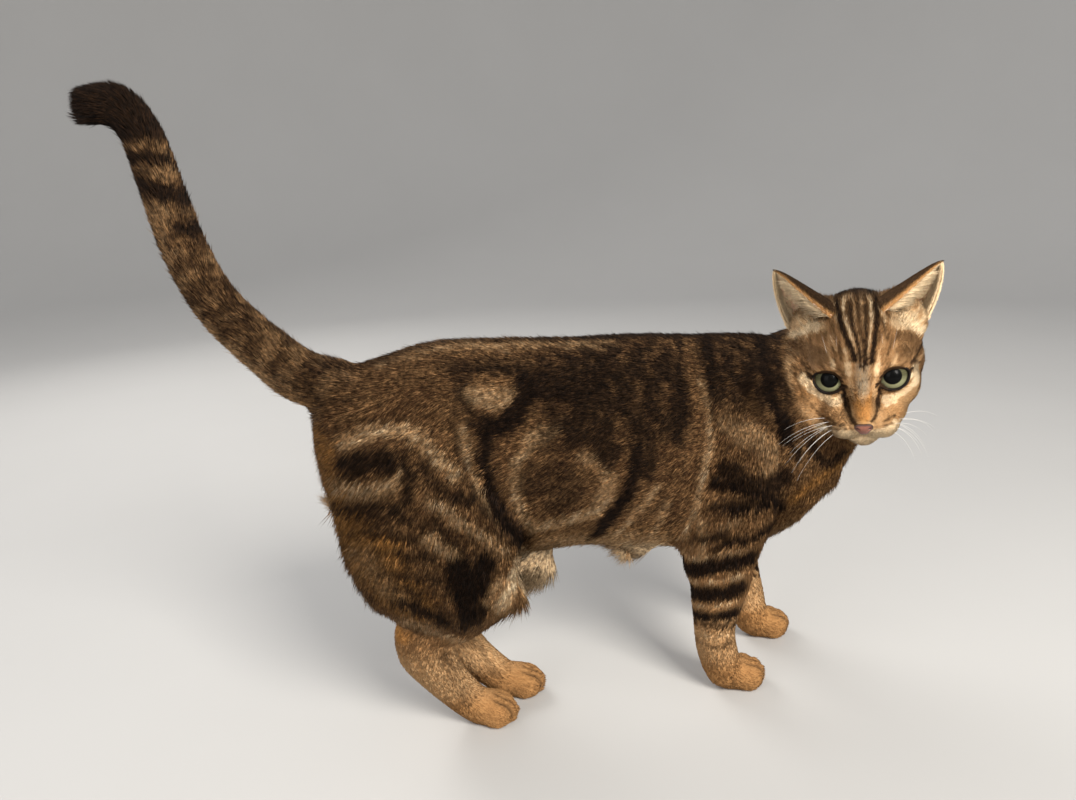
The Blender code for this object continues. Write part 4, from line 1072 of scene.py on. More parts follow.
def under_marks(points, normals, shares, ragged, pale, warm):
    """Paler and warmer fur on the belly, the throat, the insides of the legs and the feet."""
    x, y, z = points.T
    belly = smooth(0.35, 0.8, -normals[:, 2]) * smooth(*BELLY_ABOVE, z)
    pale = np.maximum(pale, 0.60 * belly)
    warm = np.maximum(warm, 0.40 * belly)
    low = 1 - smooth(*LEG_LOW, z + ragged * 0.001)
    foot = 1 - smooth(*FOOT_LOW, z)
    fore = x > 0
    pale = np.maximum(pale, np.where(fore, 0.38, 0.56) * low * (1 - 0.85 * foot))
    warm = np.maximum(warm, np.maximum(0.18 * low, 0.22 * foot))
    facing = -normals[:, 1] * np.sign(y)
    inner = smooth(-0.1, 0.6, facing) * (1 - smooth(*INNER_LEG_TOP, z)) * (np.abs(y) > 0.003)
    pale = np.maximum(pale, 0.50 * inner * (1 - foot))
    warm = np.maximum(warm, np.where(fore & (y > 0), 0.60, 0.35) * inner * (1 - 0.6 * foot))
    throat = shares[:, LIMB_NAMES.index("chest")] * smooth(0.0, 0.7, normals[:, 0])
    warm = np.maximum(warm, 0.75 * throat)
    return np.maximum(pale, 0.25 * throat), warm


def tail_marks(points, normals, tail, ragged, dark, pale):
    """A mottled dark ground, pale below near the root, and a black tip."""
    z = points[:, 2]
    below = smooth(0.3, 0.85, -normals[:, 0]) * tail * (1 - smooth(*TAIL_PALE_TOP, z))
    mottle = smooth(-0.4, 0.6, ripple(points, 0.013, 51) + 0.5 * ripple(points, 0.005, 52))
    dark = np.maximum(dark, tail * (0.30 + 0.40 * mottle))
    dark = dark * (1 - 0.9 * below)
    mottled = np.maximum(0.70 * below, 0.30 * tail * (1 - mottle))
    pale = np.maximum(pale * (1 - 0.3 * tail), mottled)
    tip = tail * smooth(*TAIL_TIP, z + ragged * 0.001)
    return np.maximum(dark, tip), pale * (1 - tip)


def toe_grooves(points):
    """How deep in a cleft between toes each point is, from 0 to 1, and the way into its paw's middle."""
    cover = np.zeros(len(points))
    way = np.zeros((len(points), 3))
    for name, (x, y) in PAW_PLACE.items():
        axes = turned("Z", PAW_TURN[name])
        local = (points - np.array((x, y, 0.0))) @ axes
        near = (np.linalg.norm(local, axis=1) < PAW_REACH) * smooth(*CLEFT_START, local[:, 0])
        inward = unit(np.array(PAW_HEART) - local * (1, 0, 1)) @ axes.T
        for cleft in (-1, 0, 1):
            across = local[:, 1] - cleft * TOE_SPREAD[name.split("_")[0]] * CLEFT_SPREAD
            depth = np.exp(-((across / TOE_CLEFT) ** 2)) * near * (1.0 if cleft == 0 else 0.8)
            deeper = depth > cover
            cover = np.where(deeper, depth, cover)
            way = np.where(deeper[:, None], inward, way)
    return cover, way


def face_marks(points):
    """Dark, pale, warm and ash amounts on the head, from its strokes in front, at the side and over the
    crown, with fine streaks that run away from the nose."""
    local = to_head(points) * 1000
    flat = local[:, 1:3]
    ragged = ripple(points, 0.0030, 41) * 0.40 + ripple(points, 0.0012, 42) * 0.20
    ray = to_head(points) - np.array(NOSE_SOURCE)
    streaks = ripple(unit(ray) * 0.045 + 0.2 * ray, 0.0030, 45)
    ahead = smooth(*FACE_AHEAD, local[:, 0])
    fill = drawn(flat, FACE_FILL, 2.0, ragged * 2) * ahead
    lines = drawn(flat, FACE_DARK, 0.8, ragged) * ahead
    pale = drawn(flat, FACE_PALE, 0.8, ragged) * ahead
    warm = drawn(flat, FACE_WARM, 3.0, ragged) * ahead
    ash = drawn(flat, FACE_GREY, 2.5, ragged) * ahead
    ticked = smooth(*FACE_TICKED, local[:, 2]) * 0.65 + 0.15
    pale = np.maximum(pale, 0.38 * ticked * smooth(0.1, 0.9, -streaks) * (1 - fill))
    fill = np.maximum(fill, 0.75 * ticked * smooth(0.1, 0.9, streaks))
    dark = np.maximum(fill * (1 - pale), lines)
    dark = np.maximum(dark, lid_edges(points))
    beside = smooth(*FACE_BESIDE, np.abs(local[:, 1]))
    dark = np.maximum(dark, drawn(local[:, [0, 2]], CHEEK_DARK, 1.0, ragged) * beside)
    dark, pale = crown_marks(local, ragged, dark, pale)
    pale, warm = muzzle_marks(local, pale, warm)
    hollow = ear_hollows(local)
    dark = dark * (1 - 0.9 * hollow)
    pale = np.maximum(pale, hollow * (0.58 + 0.32 * smooth(-0.5, 0.8, streaks)))
    near_mouth = [near_line(local, mouth_line(side) * 1000) for side in (-1, 1)]
    dark = np.maximum(dark, 0.6 * (1 - smooth(0.7, 1.4, np.minimum(*near_mouth))))
    warm = warm * (1 - dark) * (1 - 0.6 * pale)
    ash = ash * (1 - dark) * (1 - pale)
    return dark, pale * (1 - 0.8 * dark), warm, ash


def lid_edges(points):
    """Dark skin round the eyes' openings, from 0 to 0.95."""
    cover = np.zeros(len(points))
    for side in (-1, 1):
        lid = (points - eye_centre(side)) @ eye_axes(side) * 1000
        rim = smooth(*LID_EDGE, opening_depth(lid / 1000) * 1000)
        rim = rim * (np.linalg.norm(lid, axis=1) < EYE_REACH * 1000)
        cover = np.maximum(cover, 0.95 * rim * (lid[:, 0] > 0))
    return cover


def crown_marks(local, ragged, dark, pale):
    """Three dark stripes over the back of the head, on a darker ground between the ears."""
    across = np.abs(local[:, 1]) + ragged * 2
    behind = (1 - smooth(*CROWN_BEHIND, local[:, 0])) * smooth(*CROWN_ABOVE, local[:, 2])
    outer = 1 - smooth(1.6, 3.4, np.abs(across - CROWN_STRIPE))
    stripes = np.maximum(outer, 1 - smooth(0.8, 2.0, across))
    ground = (1 - smooth(11, 15, across)) * 0.72
    dark = np.maximum(dark, behind * np.maximum(stripes * 0.95, ground))
    return dark, pale * (1 - behind * stripes)


def muzzle_marks(local, pale, warm):
    """Pale chin and whisker pads, and paler, warmer cheeks below the eyes."""
    ahead, _, up = local.T
    chin = (1 - smooth(-25, -19, up)) * smooth(8, 22, ahead)
    muzzle = smooth(30, 38, ahead) * (1 - smooth(-17, -13, up))
    below = (1 - smooth(-6, 4, up)) * smooth(-4, 14, ahead)
    pale = np.maximum(pale, np.maximum(0.95 * chin, 0.9 * muzzle))
    pale = np.maximum(pale, 0.45 * below * (1 - warm))
    return pale, np.maximum(warm, 0.36 * below)


def ear_hollows(local):
    """How much of the pale fur in front of the ears' roots each point belongs to, from 0 to 1."""
    centre, radii = (np.array(values) * 1000 for values in HEAD_SIDE_FORMS["ear_root"])
    root = [np.linalg.norm((local - sided(centre, side)) / radii, axis=1) for side in (-1, 1)]
    hollow = (1 - smooth(1.05, 1.30, np.minimum(*root))) * smooth(20, 24, np.abs(local[:, 1]))
    hollow *= smooth(-26, -18, local[:, 0]) * smooth(20, 26, local[:, 2])
    return hollow


def mouth_line(side):
    """The mouth's line from under the nose back between the lips on one side."""
    return np.array([sided(place, side) for place in MOUTH])


def marks(points, normals, shares):
    """The coat's markings, with the painted shade of the toe clefts, as four amounts, the head's fading into
    the body's.
    """
    face = smooth(*FACE_SHARE, shares[:, -1])[:, None]
    body = np.stack(body_marks(points, normals, shares), axis=1)
    head = np.stack(face_marks(points), axis=1)
    return np.clip(body * (1 - face) + head * face, 0, 1)


def flesh_forms():
    """Grids of every form of flesh, as part of the outside of the coat."""
    grids = [trunk_grid()]
    for stations in (NECK, CHEST, TAIL, RIGHT_FORELEG, LEFT_FORELEG, RIGHT_THIGH, LEFT_THIGH, RIGHT_SHANK,
                     LEFT_SHANK):
        grids.append(ring_grid(domed(through(stations)), 36))
    for centre, radii in BELLY_FUR.values():
        grids.append(ball_grid(centre, np.array(radii) * FRINGE_CORE))
    for name, (x, y) in PAW_PLACE.items():
        turn = turned("Z", PAW_TURN[name])
        spread = TOE_SPREAD[name.split("_")[0]]
        balls = [ball_grid((0, 0, PALM_HEIGHT), PALM)]
        balls += [ball_grid((reach, (toe - 1.5) * spread, TOE_HEIGHT), TOE)
                  for toe, reach in enumerate(TOE_REACH)]
        grids += [ball @ turn.T + np.array((x, y, 0.0)) for ball in balls]
    for centre, radii in HEAD_MIDDLE_FORMS.values():
        grids.append(from_head(ball_grid(centre, radii)))
    for side in (-1, 1):
        for centre, radii in HEAD_SIDE_FORMS.values():
            grids.append(from_head(ball_grid(sided(centre, side), radii)))
        lid = EYE_RADIUS + LID_THICKNESS + LID_MARGIN
        grids.append(from_head(ball_grid(sided(EYE_PLACE, side), (lid, lid, lid))))
    return grids


def joined(parts):
    """The points and faces of several meshes as one."""
    starts = np.cumsum([0] + [len(points) for points, _ in parts])
    return (np.vstack([points for points, _ in parts]),
            np.vstack([faces + start for (_, faces), start in zip(parts, starts)]))


def flesh_mesh():
    """All forms fused into one closed surface, with softened creases, and finer faces on the face, round the
    eyes and between the toes."""
    mesh = new_mesh("forms", *joined([closed_by_fans(grid) for grid in flesh_forms()]))
    obj = bpy.data.objects.new("forms", mesh)
    bpy.context.scene.collection.objects.link(obj)
    fuse = obj.modifiers.new("fuse", "REMESH")
    fuse.mode = "VOXEL"
    fuse.voxel_size = SKIN_VOXEL
    soften = obj.modifiers.new("soften", "SMOOTH")
    soften.factor = 0.5
    soften.iterations = SKIN_SOFTENING
    bpy.context.view_layer.update()
    fused = bpy.data.meshes.new_from_object(obj.evaluated_get(bpy.context.evaluated_depsgraph_get()))
    bpy.data.objects.remove(obj)
    points, faces = vertex_places(fused) - STAND, triangles_of(fused)
    for wanted in (on_face, by_eyes, on_toes, on_toes):
        points, faces = finer(points, faces, wanted)
    return new_mesh("skin", points, faces)


def on_face(points):
    """Whether each point lies on the front of the head."""
    local = to_head(points)
    return (local[:, 0] > FINE_FACE[0]) & (np.linalg.norm(local, axis=1) < FINE_FACE[1])


def on_toes(points):
    """Whether each point lies in or beside a cleft between toes."""
    return (toe_grooves(points)[0] > FINE_TOES[0]) & (points[:, 2] < FINE_TOES[1])


def by_eyes(points):
    """Whether each point lies round an eye."""
    local = to_head(points)
    near = [np.linalg.norm(local - sided(EYE_PLACE, side), axis=1) < EYE_REACH for side in (-1, 1)]
    return near[0] | near[1]


def finer(points, faces, wanted):
    """Splits the triangles' edges that the function picks at their middles, and each triangle into two, three
    or four along its split edges."""
    edges = np.sort(np.stack([faces, np.roll(faces, -1, axis=1)], axis=2), axis=2)
    single, which = np.unique(edges.reshape(-1, 2), axis=0, return_inverse=True)
    middles = points[single].mean(axis=1)
    split = wanted(middles)
    number = np.full(len(single), -1)
    number[split] = len(points) + np.arange(split.sum())
    middle = number[which.ravel()].reshape(-1, 3)
    count = (middle >= 0).sum(axis=1)
    made = [faces[count == 0]]
    for splits, first in ((1, lambda m: m >= 0), (2, lambda m: m < 0)):
        chosen = count == splits
        turn = (first(middle[chosen]).argmax(axis=1)[:, None] + np.arange(3)) % 3
        a, b, c = np.take_along_axis(faces[chosen], turn, axis=1).T
        ab, bc, ca = np.take_along_axis(middle[chosen], turn, axis=1).T
        if splits == 1:
            made += [np.stack(part, axis=1) for part in ((a, ab, c), (ab, b, c))]
        else:
            made += [np.stack(part, axis=1) for part in ((a, b, bc), (a, bc, ca), (ca, bc, c))]
    (a, b, c), (ab, bc, ca) = faces[count == 3].T, middle[count == 3].T
    made += [np.stack(part, axis=1) for part in ((a, ab, ca), (ab, b, bc), (ca, bc, c), (ab, bc, ca))]
    return np.vstack([points, middles[split]]), np.vstack(made)


def opening_depth(local):
    """How far inside the almond of an eye's opening a point of the eye's own frame is: the almond's half
    height at that place across, less the point's own height."""
    half_width, half_height = EYE_OPENING
    share = np.clip(1 - (local[:, 1] / half_width) ** 2, 0, 1)
    return half_height * share ** (EYE_ALMOND / 2) - np.abs(local[:, 2])


def carved(points):
    """Presses the eyes' openings in to behind the eyeballs, holds the lids off them, and sinks the mouth's
    line, by MOUTH_DEPTH * exp(-(distance / MOUTH_WIDTH)^2), and the clefts between the toes."""
    for side in (-1, 1):
        axes = eye_axes(side)
        local = (points - eye_centre(side)) @ axes
        out = np.linalg.norm(local, axis=1)
        ahead = (local[:, 0] > 0.001) & (out < SOCKET_REACH)
        inside = smooth(-0.0004, 0.0006, opening_depth(local)) * ahead
        lid = EYE_RADIUS + LID_THICKNESS * LID_HELD
        held = np.where(ahead, np.maximum(out, lid), out)
        target = held * (1 - inside) + (EYE_RADIUS - SOCKET_DEPTH) * inside
        points = points + (local * ((target / np.maximum(out, 1e-6)) - 1)[:, None]) @ axes.T
    local = to_head(points)
    for side in (-1, 1):
        near = near_line(local, mouth_line(side))
        sunk = MOUTH_DEPTH * np.exp(-(near / MOUTH_WIDTH) ** 2)
        local = local - unit(local - np.array(MOUTH_SOURCE)) * sunk[:, None]
    points = from_head(local)
    groove, way = toe_grooves(points)
    return points + way * (groove * TOE_CLEFT_DEPTH)[:, None]


def vertex_normals(mesh):
    """The mesh's outward directions at its points, as rows."""
    normals = np.zeros(len(mesh.vertices) * 3, np.float32)
    mesh.vertex_normals.foreach_get("vector", normals)
    return normals.reshape(-1, 3).astype(float)


def calmness(length):
    """1 where the fur is short and its hairs are nearly of one colour, 0 where it is long and ticked."""
    return 1 - smooth(*CALM_LENGTHS, length)


def make_skin(material):
    """The flesh's surface moved in by the depth of the coat, with the markings of the coat on it."""
    mesh = flesh_mesh()
    points = vertex_places(mesh) - STAND
    normals = vertex_normals(mesh)
    _, measures, _ = lie_of_coat(points, normals)
    points = carved(points - normals * measures[:, 1:2])
    points[:, 2] = np.maximum(points[:, 2], FLOOR_CLEARANCE)
    mesh.vertices.foreach_set("co", (points + STAND).astype(np.float32).ravel())
    mesh.update()
    mesh.polygons.foreach_set("use_smooth", np.ones(len(mesh.polygons), bool))
    normals = vertex_normals(mesh)
    _, _, shares = lie_of_coat(points, normals)
    colour_attribute(mesh, "marks", marks(points, normals, shares))
    strand = np.zeros((len(points), 4))
    strand[:, 3] = calmness(measures[:, 0])
    strand[:, 0] = 0.35 + 0.30 * strand[:, 3]
    strand[:, 1] = 0.5
    colour_attribute(mesh, "strand", strand)
    return new_object("skin", mesh, material)


def tuft_shapes(roots, normals, flow, length, width, rise, draw):
    """Tapered tufts of three sides: a root section sunk in the skin, and a point that lies along the flow at
    root + flow * length + normal * rise, each swung a little to one side."""
    swing = np.radians(draw.normal(0, TUFT_SWING, len(roots)))[:, None]
    flow = unit(flow * np.cos(swing) + np.cross(normals, flow) * np.sin(swing))
    side = unit(np.cross(normals, flow)) * width[:, None] / 2
    start = roots - normals * TUFT_SUNK
    top = roots + normals * width[:, None] * TUFT_TOP
    tip = roots + flow * length[:, None] + normals * rise[:, None]
    return np.stack([start - side, start + side, top, tip], axis=1)


TUFT_FACES = np.array([(0, 3, 2), (1, 2, 3), (0, 1, 3), (0, 2, 1)])
TUFT_ALONG = np.array([0.0, 0.0, 0.0, 1.0])
TUFT_PATCHES = np.array([(-0.45, 0.0), (0.45, 0.0), (0.0, 0.10), (0.0, 1.0)])


def tuft_mesh(name, tufts, amounts, chance, calm, unwrap):
    """One mesh of many tufts, each a small patch at its root's place on the OFBake map."""
    count, corners = tufts.shape[:2]
    points = tufts.reshape(-1, 3)
    points[:, 2] = np.maximum(points[:, 2], FLOOR_CLEARANCE)
    faces = (TUFT_FACES[None] + np.arange(count)[:, None, None] * corners).reshape(-1, 3)
    mesh = new_mesh(name, points, faces)
    colour_attribute(mesh, "marks", np.repeat(amounts, corners, axis=0))
    strand = np.zeros((count, corners, 4))
    strand[..., 0] = TUFT_ALONG
    strand[..., 1:3] = chance[:, None]
    strand[..., 3] = calm[:, None]
    colour_attribute(mesh, "strand", strand)
    patches = 0.01 + 0.98 * unwrap[:, None] + (TUFT_PATCHES * TUFT_PATCH)[None]
    layer = mesh.uv_layers.new(name="OFBake")
    layer.data.foreach_set("uv", patches.reshape(-1, 2)[faces.ravel()].astype(np.float32).ravel())
    return mesh


def triangles_of(mesh):
    """The mesh's faces as rows of three points' numbers."""
    mesh.calc_loop_triangles()
    corners = np.zeros(len(mesh.loop_triangles) * 3, np.int32)
    mesh.loop_triangles.foreach_get("vertices", corners)
    return corners.reshape(-1, 3)


def bare(points):
    """Places that grow no fur: inside the eyes' openings, under the nose leather, on the mouth's line and on
    the soles."""
    hidden = points[:, 2] < SOLE_HEIGHT
    local = to_head(points)
    nose = np.linalg.norm((local - np.array(NOSE_PLACE)) / (np.array(NOSE_SIZE) * 1.02), axis=1)
    hidden |= nose < 1
    for side in (-1, 1):
        own = (points - eye_centre(side)) @ eye_axes(side)
        near = np.linalg.norm(own, axis=1) < EYE_REACH
        hidden |= near & (own[:, 0] > 0) & (opening_depth(own) > -LID_BARE)
        hidden |= near_line(local, mouth_line(side)) < MOUTH_BARE
    return hidden


def piece_names(points, shares):
    """The name of the coat piece that each point belongs to."""
    best = shares.argmax(axis=1)
    names = np.array([limb_piece(name) for name in LIMB_NAMES] + ["coat_head"], dtype=object)[best]
    flank = np.where(points[:, 1] < 0, "coat_flank_right", "coat_flank_left")
    names = np.where(names == "coat_trunk", flank, names)
    names = np.where((best == 0) & (points[:, 2] < BELLY_TOP), "coat_belly", names)
    ahead = to_head(points)[:, 0] > FACE_START
    return np.where(names == "coat_head", np.where(ahead, "coat_face", "coat_crown"), names)


def limb_piece(limb):
    """The name of the coat piece that a limb's fur belongs to."""
    side = limb.split("_")[-1]
    if limb in ("neck", "chest"):
        return "coat_neck"
    if limb.startswith(("foreleg", "paw_fore")):
        return f"coat_foreleg_{side}"
    if limb.startswith(("shank", "paw_hind")):
        return f"coat_hind_leg_{side}"
    return f"coat_{limb}"


# The limb that each piece's OFBake map is unwrapped round
UNWRAPPED_ROUND = {"coat_neck": "neck", "coat_belly": "trunk",
                   "coat_flank_right": "trunk", "coat_flank_left": "trunk",
                   "coat_thigh_right": "thigh_right", "coat_thigh_left": "thigh_left", "coat_tail": "tail",
                   "coat_foreleg_right": "foreleg_right", "coat_foreleg_left": "foreleg_left",
                   "coat_hind_leg_right": "shank_right", "coat_hind_leg_left": "shank_left"}


def unwrapped(name, points):
    """Round and along the piece's limb, or round the head's long axis and along it, stretched to fill the
    map."""
    if name in UNWRAPPED_ROUND:
        _, _, round_it, along_it = against(points, LIMBS[UNWRAPPED_ROUND[name]][0])
    else:
        local = to_head(points)
        round_it = np.arctan2(local[:, 1], local[:, 2]) / (2 * math.pi) + 0.5
        along_it = local[:, 0]
    places = np.stack([round_it, along_it], axis=1)
    low, high = places.min(axis=0), places.max(axis=0)
    return (places - low) / (high - low)


def make_coat(skin, material):
    """Scatters tuft roots over the skin by area, more of them where tufts are small, and grows each piece."""
    corners = triangles_of(skin.data)
    tri = (vertex_places(skin.data) - STAND)[corners]
    area_normals = np.cross(tri[:, 1] - tri[:, 0], tri[:, 2] - tri[:, 0])
    middles = tri.mean(axis=1)
    normals = vertex_normals(skin.data)
    _, measures, shares = lie_of_coat(middles, unit(area_normals))
    names = piece_names(middles, shares)
    density = np.linalg.norm(area_normals, axis=1) / measures[:, 2]
    density[bare(middles)] = 0
    pieces = []
    for number, (name, count) in enumerate(TUFTS.items()):
        draw = np.random.default_rng(COAT_SEED + number)
        weight = np.where(names == name, density, 0)
        chosen = draw.choice(len(tri), size=count, p=weight / weight.sum())
        split = draw.dirichlet((1, 1, 1), count)
        roots = np.einsum("nij,ni->nj", tri[chosen], split)
        facing = unit(np.einsum("nij,ni->nj", normals[corners[chosen]], split))
        keep = ~bare(roots)
        mesh = grown(name, roots[keep], facing[keep], draw)
        pieces.append(new_object(name, mesh, material))
    return pieces


def grown(name, roots, facing, draw):
    """One piece's tufts from its roots: they follow the coat's lie, drifting softly aside, with length, rise
    and width drawn about the coat's own. A few are thin and stand off."""
    flow, own, share = lie_of_coat(roots, facing)
    drift = sum(ripple(roots, size, seed)[:, None] * strength for size, seed, strength in DRIFTS)
    flow = unit(flow + np.cross(facing, flow) * drift)
    chance = draw.random((len(roots), 2))
    length = own[:, 0] * draw.uniform(*LENGTH_SPREAD, len(roots))
    amounts = marks(roots + flow * length[:, None] * 0.5, facing, share)
    rise = own[:, 1] * draw.uniform(*RISE_SPREAD, len(roots)) * RISE_SHARE
    stray = draw.random(len(roots)) < STRAY_CHANCE * smooth(*STRAY_LENGTHS, length)
    rise = np.where(stray, rise + length * STRAY_RISE, rise)
    width = own[:, 2] * draw.uniform(*WIDTH_SPREAD, len(roots)) * np.where(stray, STRAY_WIDTH, 1.0)
    shapes = tuft_shapes(roots, facing, flow, length, width, rise, draw)
    return tuft_mesh(name, shapes, amounts, chance, calmness(own[:, 0]), unwrapped(name, roots))


def eye_surface(side):
    """The eyeball as rings about the gaze, from its middle backwards, with the cornea a little proud:
    radius = ball + cornea * exp(-(turn / CORNEA_TURN)^4); and each point's place over that of the ball."""
    gaze = HEAD_AXES @ unit(sided(EYE_GAZE, side))
    across = unit(np.cross(HEAD_AXES[:, 2], gaze))
    axes = np.stack([gaze, across, np.cross(gaze, across)], axis=1)
    turn = np.linspace(0.02, math.pi - 0.02, EYE_RINGS)[:, None]
    around = np.linspace(0, 2 * math.pi, EYE_SIDES, endpoint=False)[None, :]
    radius = EYE_RADIUS + CORNEA_RISE * np.exp(-((turn / CORNEA_TURN) ** 4))
    parts = np.broadcast_arrays(np.cos(turn), np.sin(turn) * np.cos(around), np.sin(turn) * np.sin(around))
    local = np.stack(parts, -1)
    points, faces = closed_by_fans(local * radius[..., None] @ axes.T + eye_centre(side))
    seen = (points - eye_centre(side)) @ axes / EYE_RADIUS
    return points, faces, seen


def make_eye(side, material):
    """An eyeball that carries each point's place across and up its front, and its distance from the gaze."""
    points, faces, seen = eye_surface(side)
    mesh = outwards(new_mesh(f"eyeball_{SIDES[side]}", points, faces))
    iris = np.zeros((len(points), 4))
    iris[:, :2] = seen[:, 1:]
    iris[:, 2] = np.where(seen[:, 0] > 0, np.linalg.norm(seen[:, 1:], axis=1), 2.0)
    colour_attribute(mesh, "iris", iris)
    return new_object(mesh.name, mesh, material)


def piped(path, radii, sides=8):
    """Round sections of the given radii square to a path."""
    rows = np.column_stack([path, radii, radii])
    return closed_by_fans(ring_grid(domed(rows, (35, 70)), sides))


def make_lid_rim(side, material):
    """A round rim on the lid along the almond of the opening: across = half width * cos(a), and
    rise = half height * sin(a)^EYE_ALMOND."""
    half_width, half_height = EYE_OPENING
    angle = np.linspace(0, 2 * math.pi, LID_RIM_STEPS, endpoint=False)
    across = (half_width + LID_RIM_GAP) * np.cos(angle)
    rise = (half_height + LID_RIM_GAP) * np.sign(np.sin(angle)) * np.abs(np.sin(angle)) ** EYE_ALMOND
    lid = EYE_RADIUS + LID_THICKNESS * LID_RIM_OUT
    ahead = np.sqrt(np.maximum(lid**2 - across**2 - rise**2, 0))
    path = np.stack([ahead, across, rise], axis=1)
    thick = (LID_RIM * (0.75 + 0.25 * np.abs(np.sin(angle))))[:, None, None]
    along = unit(np.roll(path, -1, axis=0) - np.roll(path, 1, axis=0))
    out = unit(path)
    side_way = np.cross(along, out)
    turn = np.linspace(0, 2 * math.pi, LID_RIM_SIDES, endpoint=False)[None, :, None]
    grid = path[:, None] + thick * (np.cos(turn) * out[:, None] + np.sin(turn) * side_way[:, None])
    faces = tube_faces(LID_RIM_STEPS + 1, LID_RIM_SIDES) % (LID_RIM_STEPS * LID_RIM_SIDES)
    points = eye_centre(side) + grid.reshape(-1, 3) @ eye_axes(side).T
    mesh = outwards(new_mesh(f"lid_rim_{SIDES[side]}", points, faces))
    return new_object(mesh.name, mesh, material)


def make_nose(material):
    """The leather: rings from the middle of its face out to a rounded triangle, then back into the muzzle.
    Outline = 1 + NOSE_CORNERS * cos(3a), with its corners above on both sides and below; the face falls back
    by its depth * share^2.4, with two nostrils and a slit pressed into it."""
    out, inwards = NOSE_RINGS
    share = np.concatenate([np.linspace(0.04, 1, out), np.linspace(0.98, 0.1, inwards)])[:, None]
    back = np.concatenate([np.zeros(out), np.linspace(0.15, 1, inwards)])[:, None]
    angle = np.linspace(0, 2 * math.pi, NOSE_SIDES, endpoint=False)[None, :]
    outline = 1 + NOSE_CORNERS * np.cos(3 * (angle - math.pi / 6))
    across = NOSE_LEATHER[0] * outline * np.cos(angle) * share
    rise = NOSE_LEATHER[1] * outline * np.sin(angle) * share
    ahead = NOSE_LEATHER[2] * (1 - share**2.4) - NOSE_BACK * back
    aside, wide, high, slope, dent_depth = NOSTRIL
    dent = np.exp(-(((np.abs(across) - aside) / wide) ** 2
                    + ((rise + 0.0002 - slope * np.abs(across)) / high) ** 2))
    half_width, reach, slit_depth = NOSE_SLIT
    slit = np.exp(-((across / half_width) ** 2)) * smooth(*reach, -rise)
    ahead = ahead - (dent_depth * dent + slit_depth * slit) * (back < 0.05)
    local = np.stack([ahead, across, rise], axis=-1) @ turned("Y", NOSE_TILT).T
    points, faces = closed_by_fans(from_head(local + np.array(NOSE_LEATHER_PLACE)))
    mesh = outwards(new_mesh("nose_leather", points, faces))
    tone = np.zeros((len(points), 4))
    tone[:dent.size, 0] = np.broadcast_to(share, dent.shape).ravel()
    tone[:dent.size, 1] = dent.ravel()
    colour_attribute(mesh, "tone", tone)
    return new_object("nose_leather", mesh, material)


def ear_directions(side):
    """From the ear's root to its tip, towards its opening, and across it, in the head's frame."""
    root, tip = sided(EAR_ROOT, side), np.array(EAR_TIPS[side])
    axis = unit(tip - root)
    opening = sided(EAR_OPENING, side)
    opening = unit(opening - axis * (opening @ axis))
    return root, tip, axis, opening, np.cross(axis, opening)


def ear_wall(side, height, turn, inner):
    """A point of the ear: root + height towards the tip, and an oval arc round the middle there whose size
    falls as (1 - height)^taper; inner walls stand in by the wall's thickness."""
    root, tip, _, opening, across = ear_directions(side)
    narrow = np.maximum(1 - np.maximum(height, 0), 0.0) ** EAR_TAPER
    wall = inner * EAR_WALL * (0.8 - 0.45 * np.maximum(height, 0)) + EAR_COAT
    wide = np.maximum(EAR_HALF_WIDTH * narrow - wall, 0.0003)[..., None]
    deep = np.maximum(EAR_DEPTH * narrow - wall, 0.0002)[..., None]
    curl = EAR_CURL * np.sin(height * math.pi)[..., None] * opening
    middle = root + (tip - root) * height[..., None] * EAR_TOP
    return middle + curl + across * wide * np.sin(turn)[..., None] - opening * deep * np.cos(turn)[..., None]


def make_ear(side, material):
    """An ear as a cup with an outer and an inner wall, whose points carry their wall, turn and height."""
    wrap = math.radians(EAR_WRAP)
    arc = np.linspace(-wrap, wrap, EAR_STEPS)
    height = np.linspace(-EAR_SUNK, EAR_TOP, EAR_RINGS)[:, None]
    turn = np.concatenate([arc, arc[::-1] * EAR_INNER_ARC])[None, :]
    inner = np.concatenate([np.zeros(EAR_STEPS), np.ones(EAR_STEPS)])[None, :]
    height, turn, inner = np.broadcast_arrays(height, turn, inner)
    points, faces = closed_by_fans(from_head(ear_wall(side, height, turn, inner)))
    mesh = outwards(new_mesh(f"ear_cup_{SIDES[side]}", points, faces))
    tone = np.zeros((len(points), 4))
    for column, values in enumerate((inner, np.abs(turn) / wrap, np.clip(height, 0, 1))):
        tone[:height.size, column] = values.ravel()
    colour_attribute(mesh, "tone", tone)
    return new_object(mesh.name, mesh, material)


def ear_frame_at(side, height, turn, inner):
    """Place, outward normal and tipward direction on an ear's wall."""
    step = 0.004
    place = ear_wall(side, height, turn, inner)
    up = ear_wall(side, height + step, turn, inner) - place
    round_it = ear_wall(side, height, turn + step, inner) - place
    normal = unit(np.cross(round_it, up))
    _, _, _, opening, across = ear_directions(side)
    away = across * np.sin(turn)[:, None] - opening * np.cos(turn)[:, None]
    sign = np.sign(np.einsum("ij,ij->i", normal, away))[:, None] * np.where(inner > 0.5, -1, 1)[:, None]
    return place, normal * sign, unit(up)


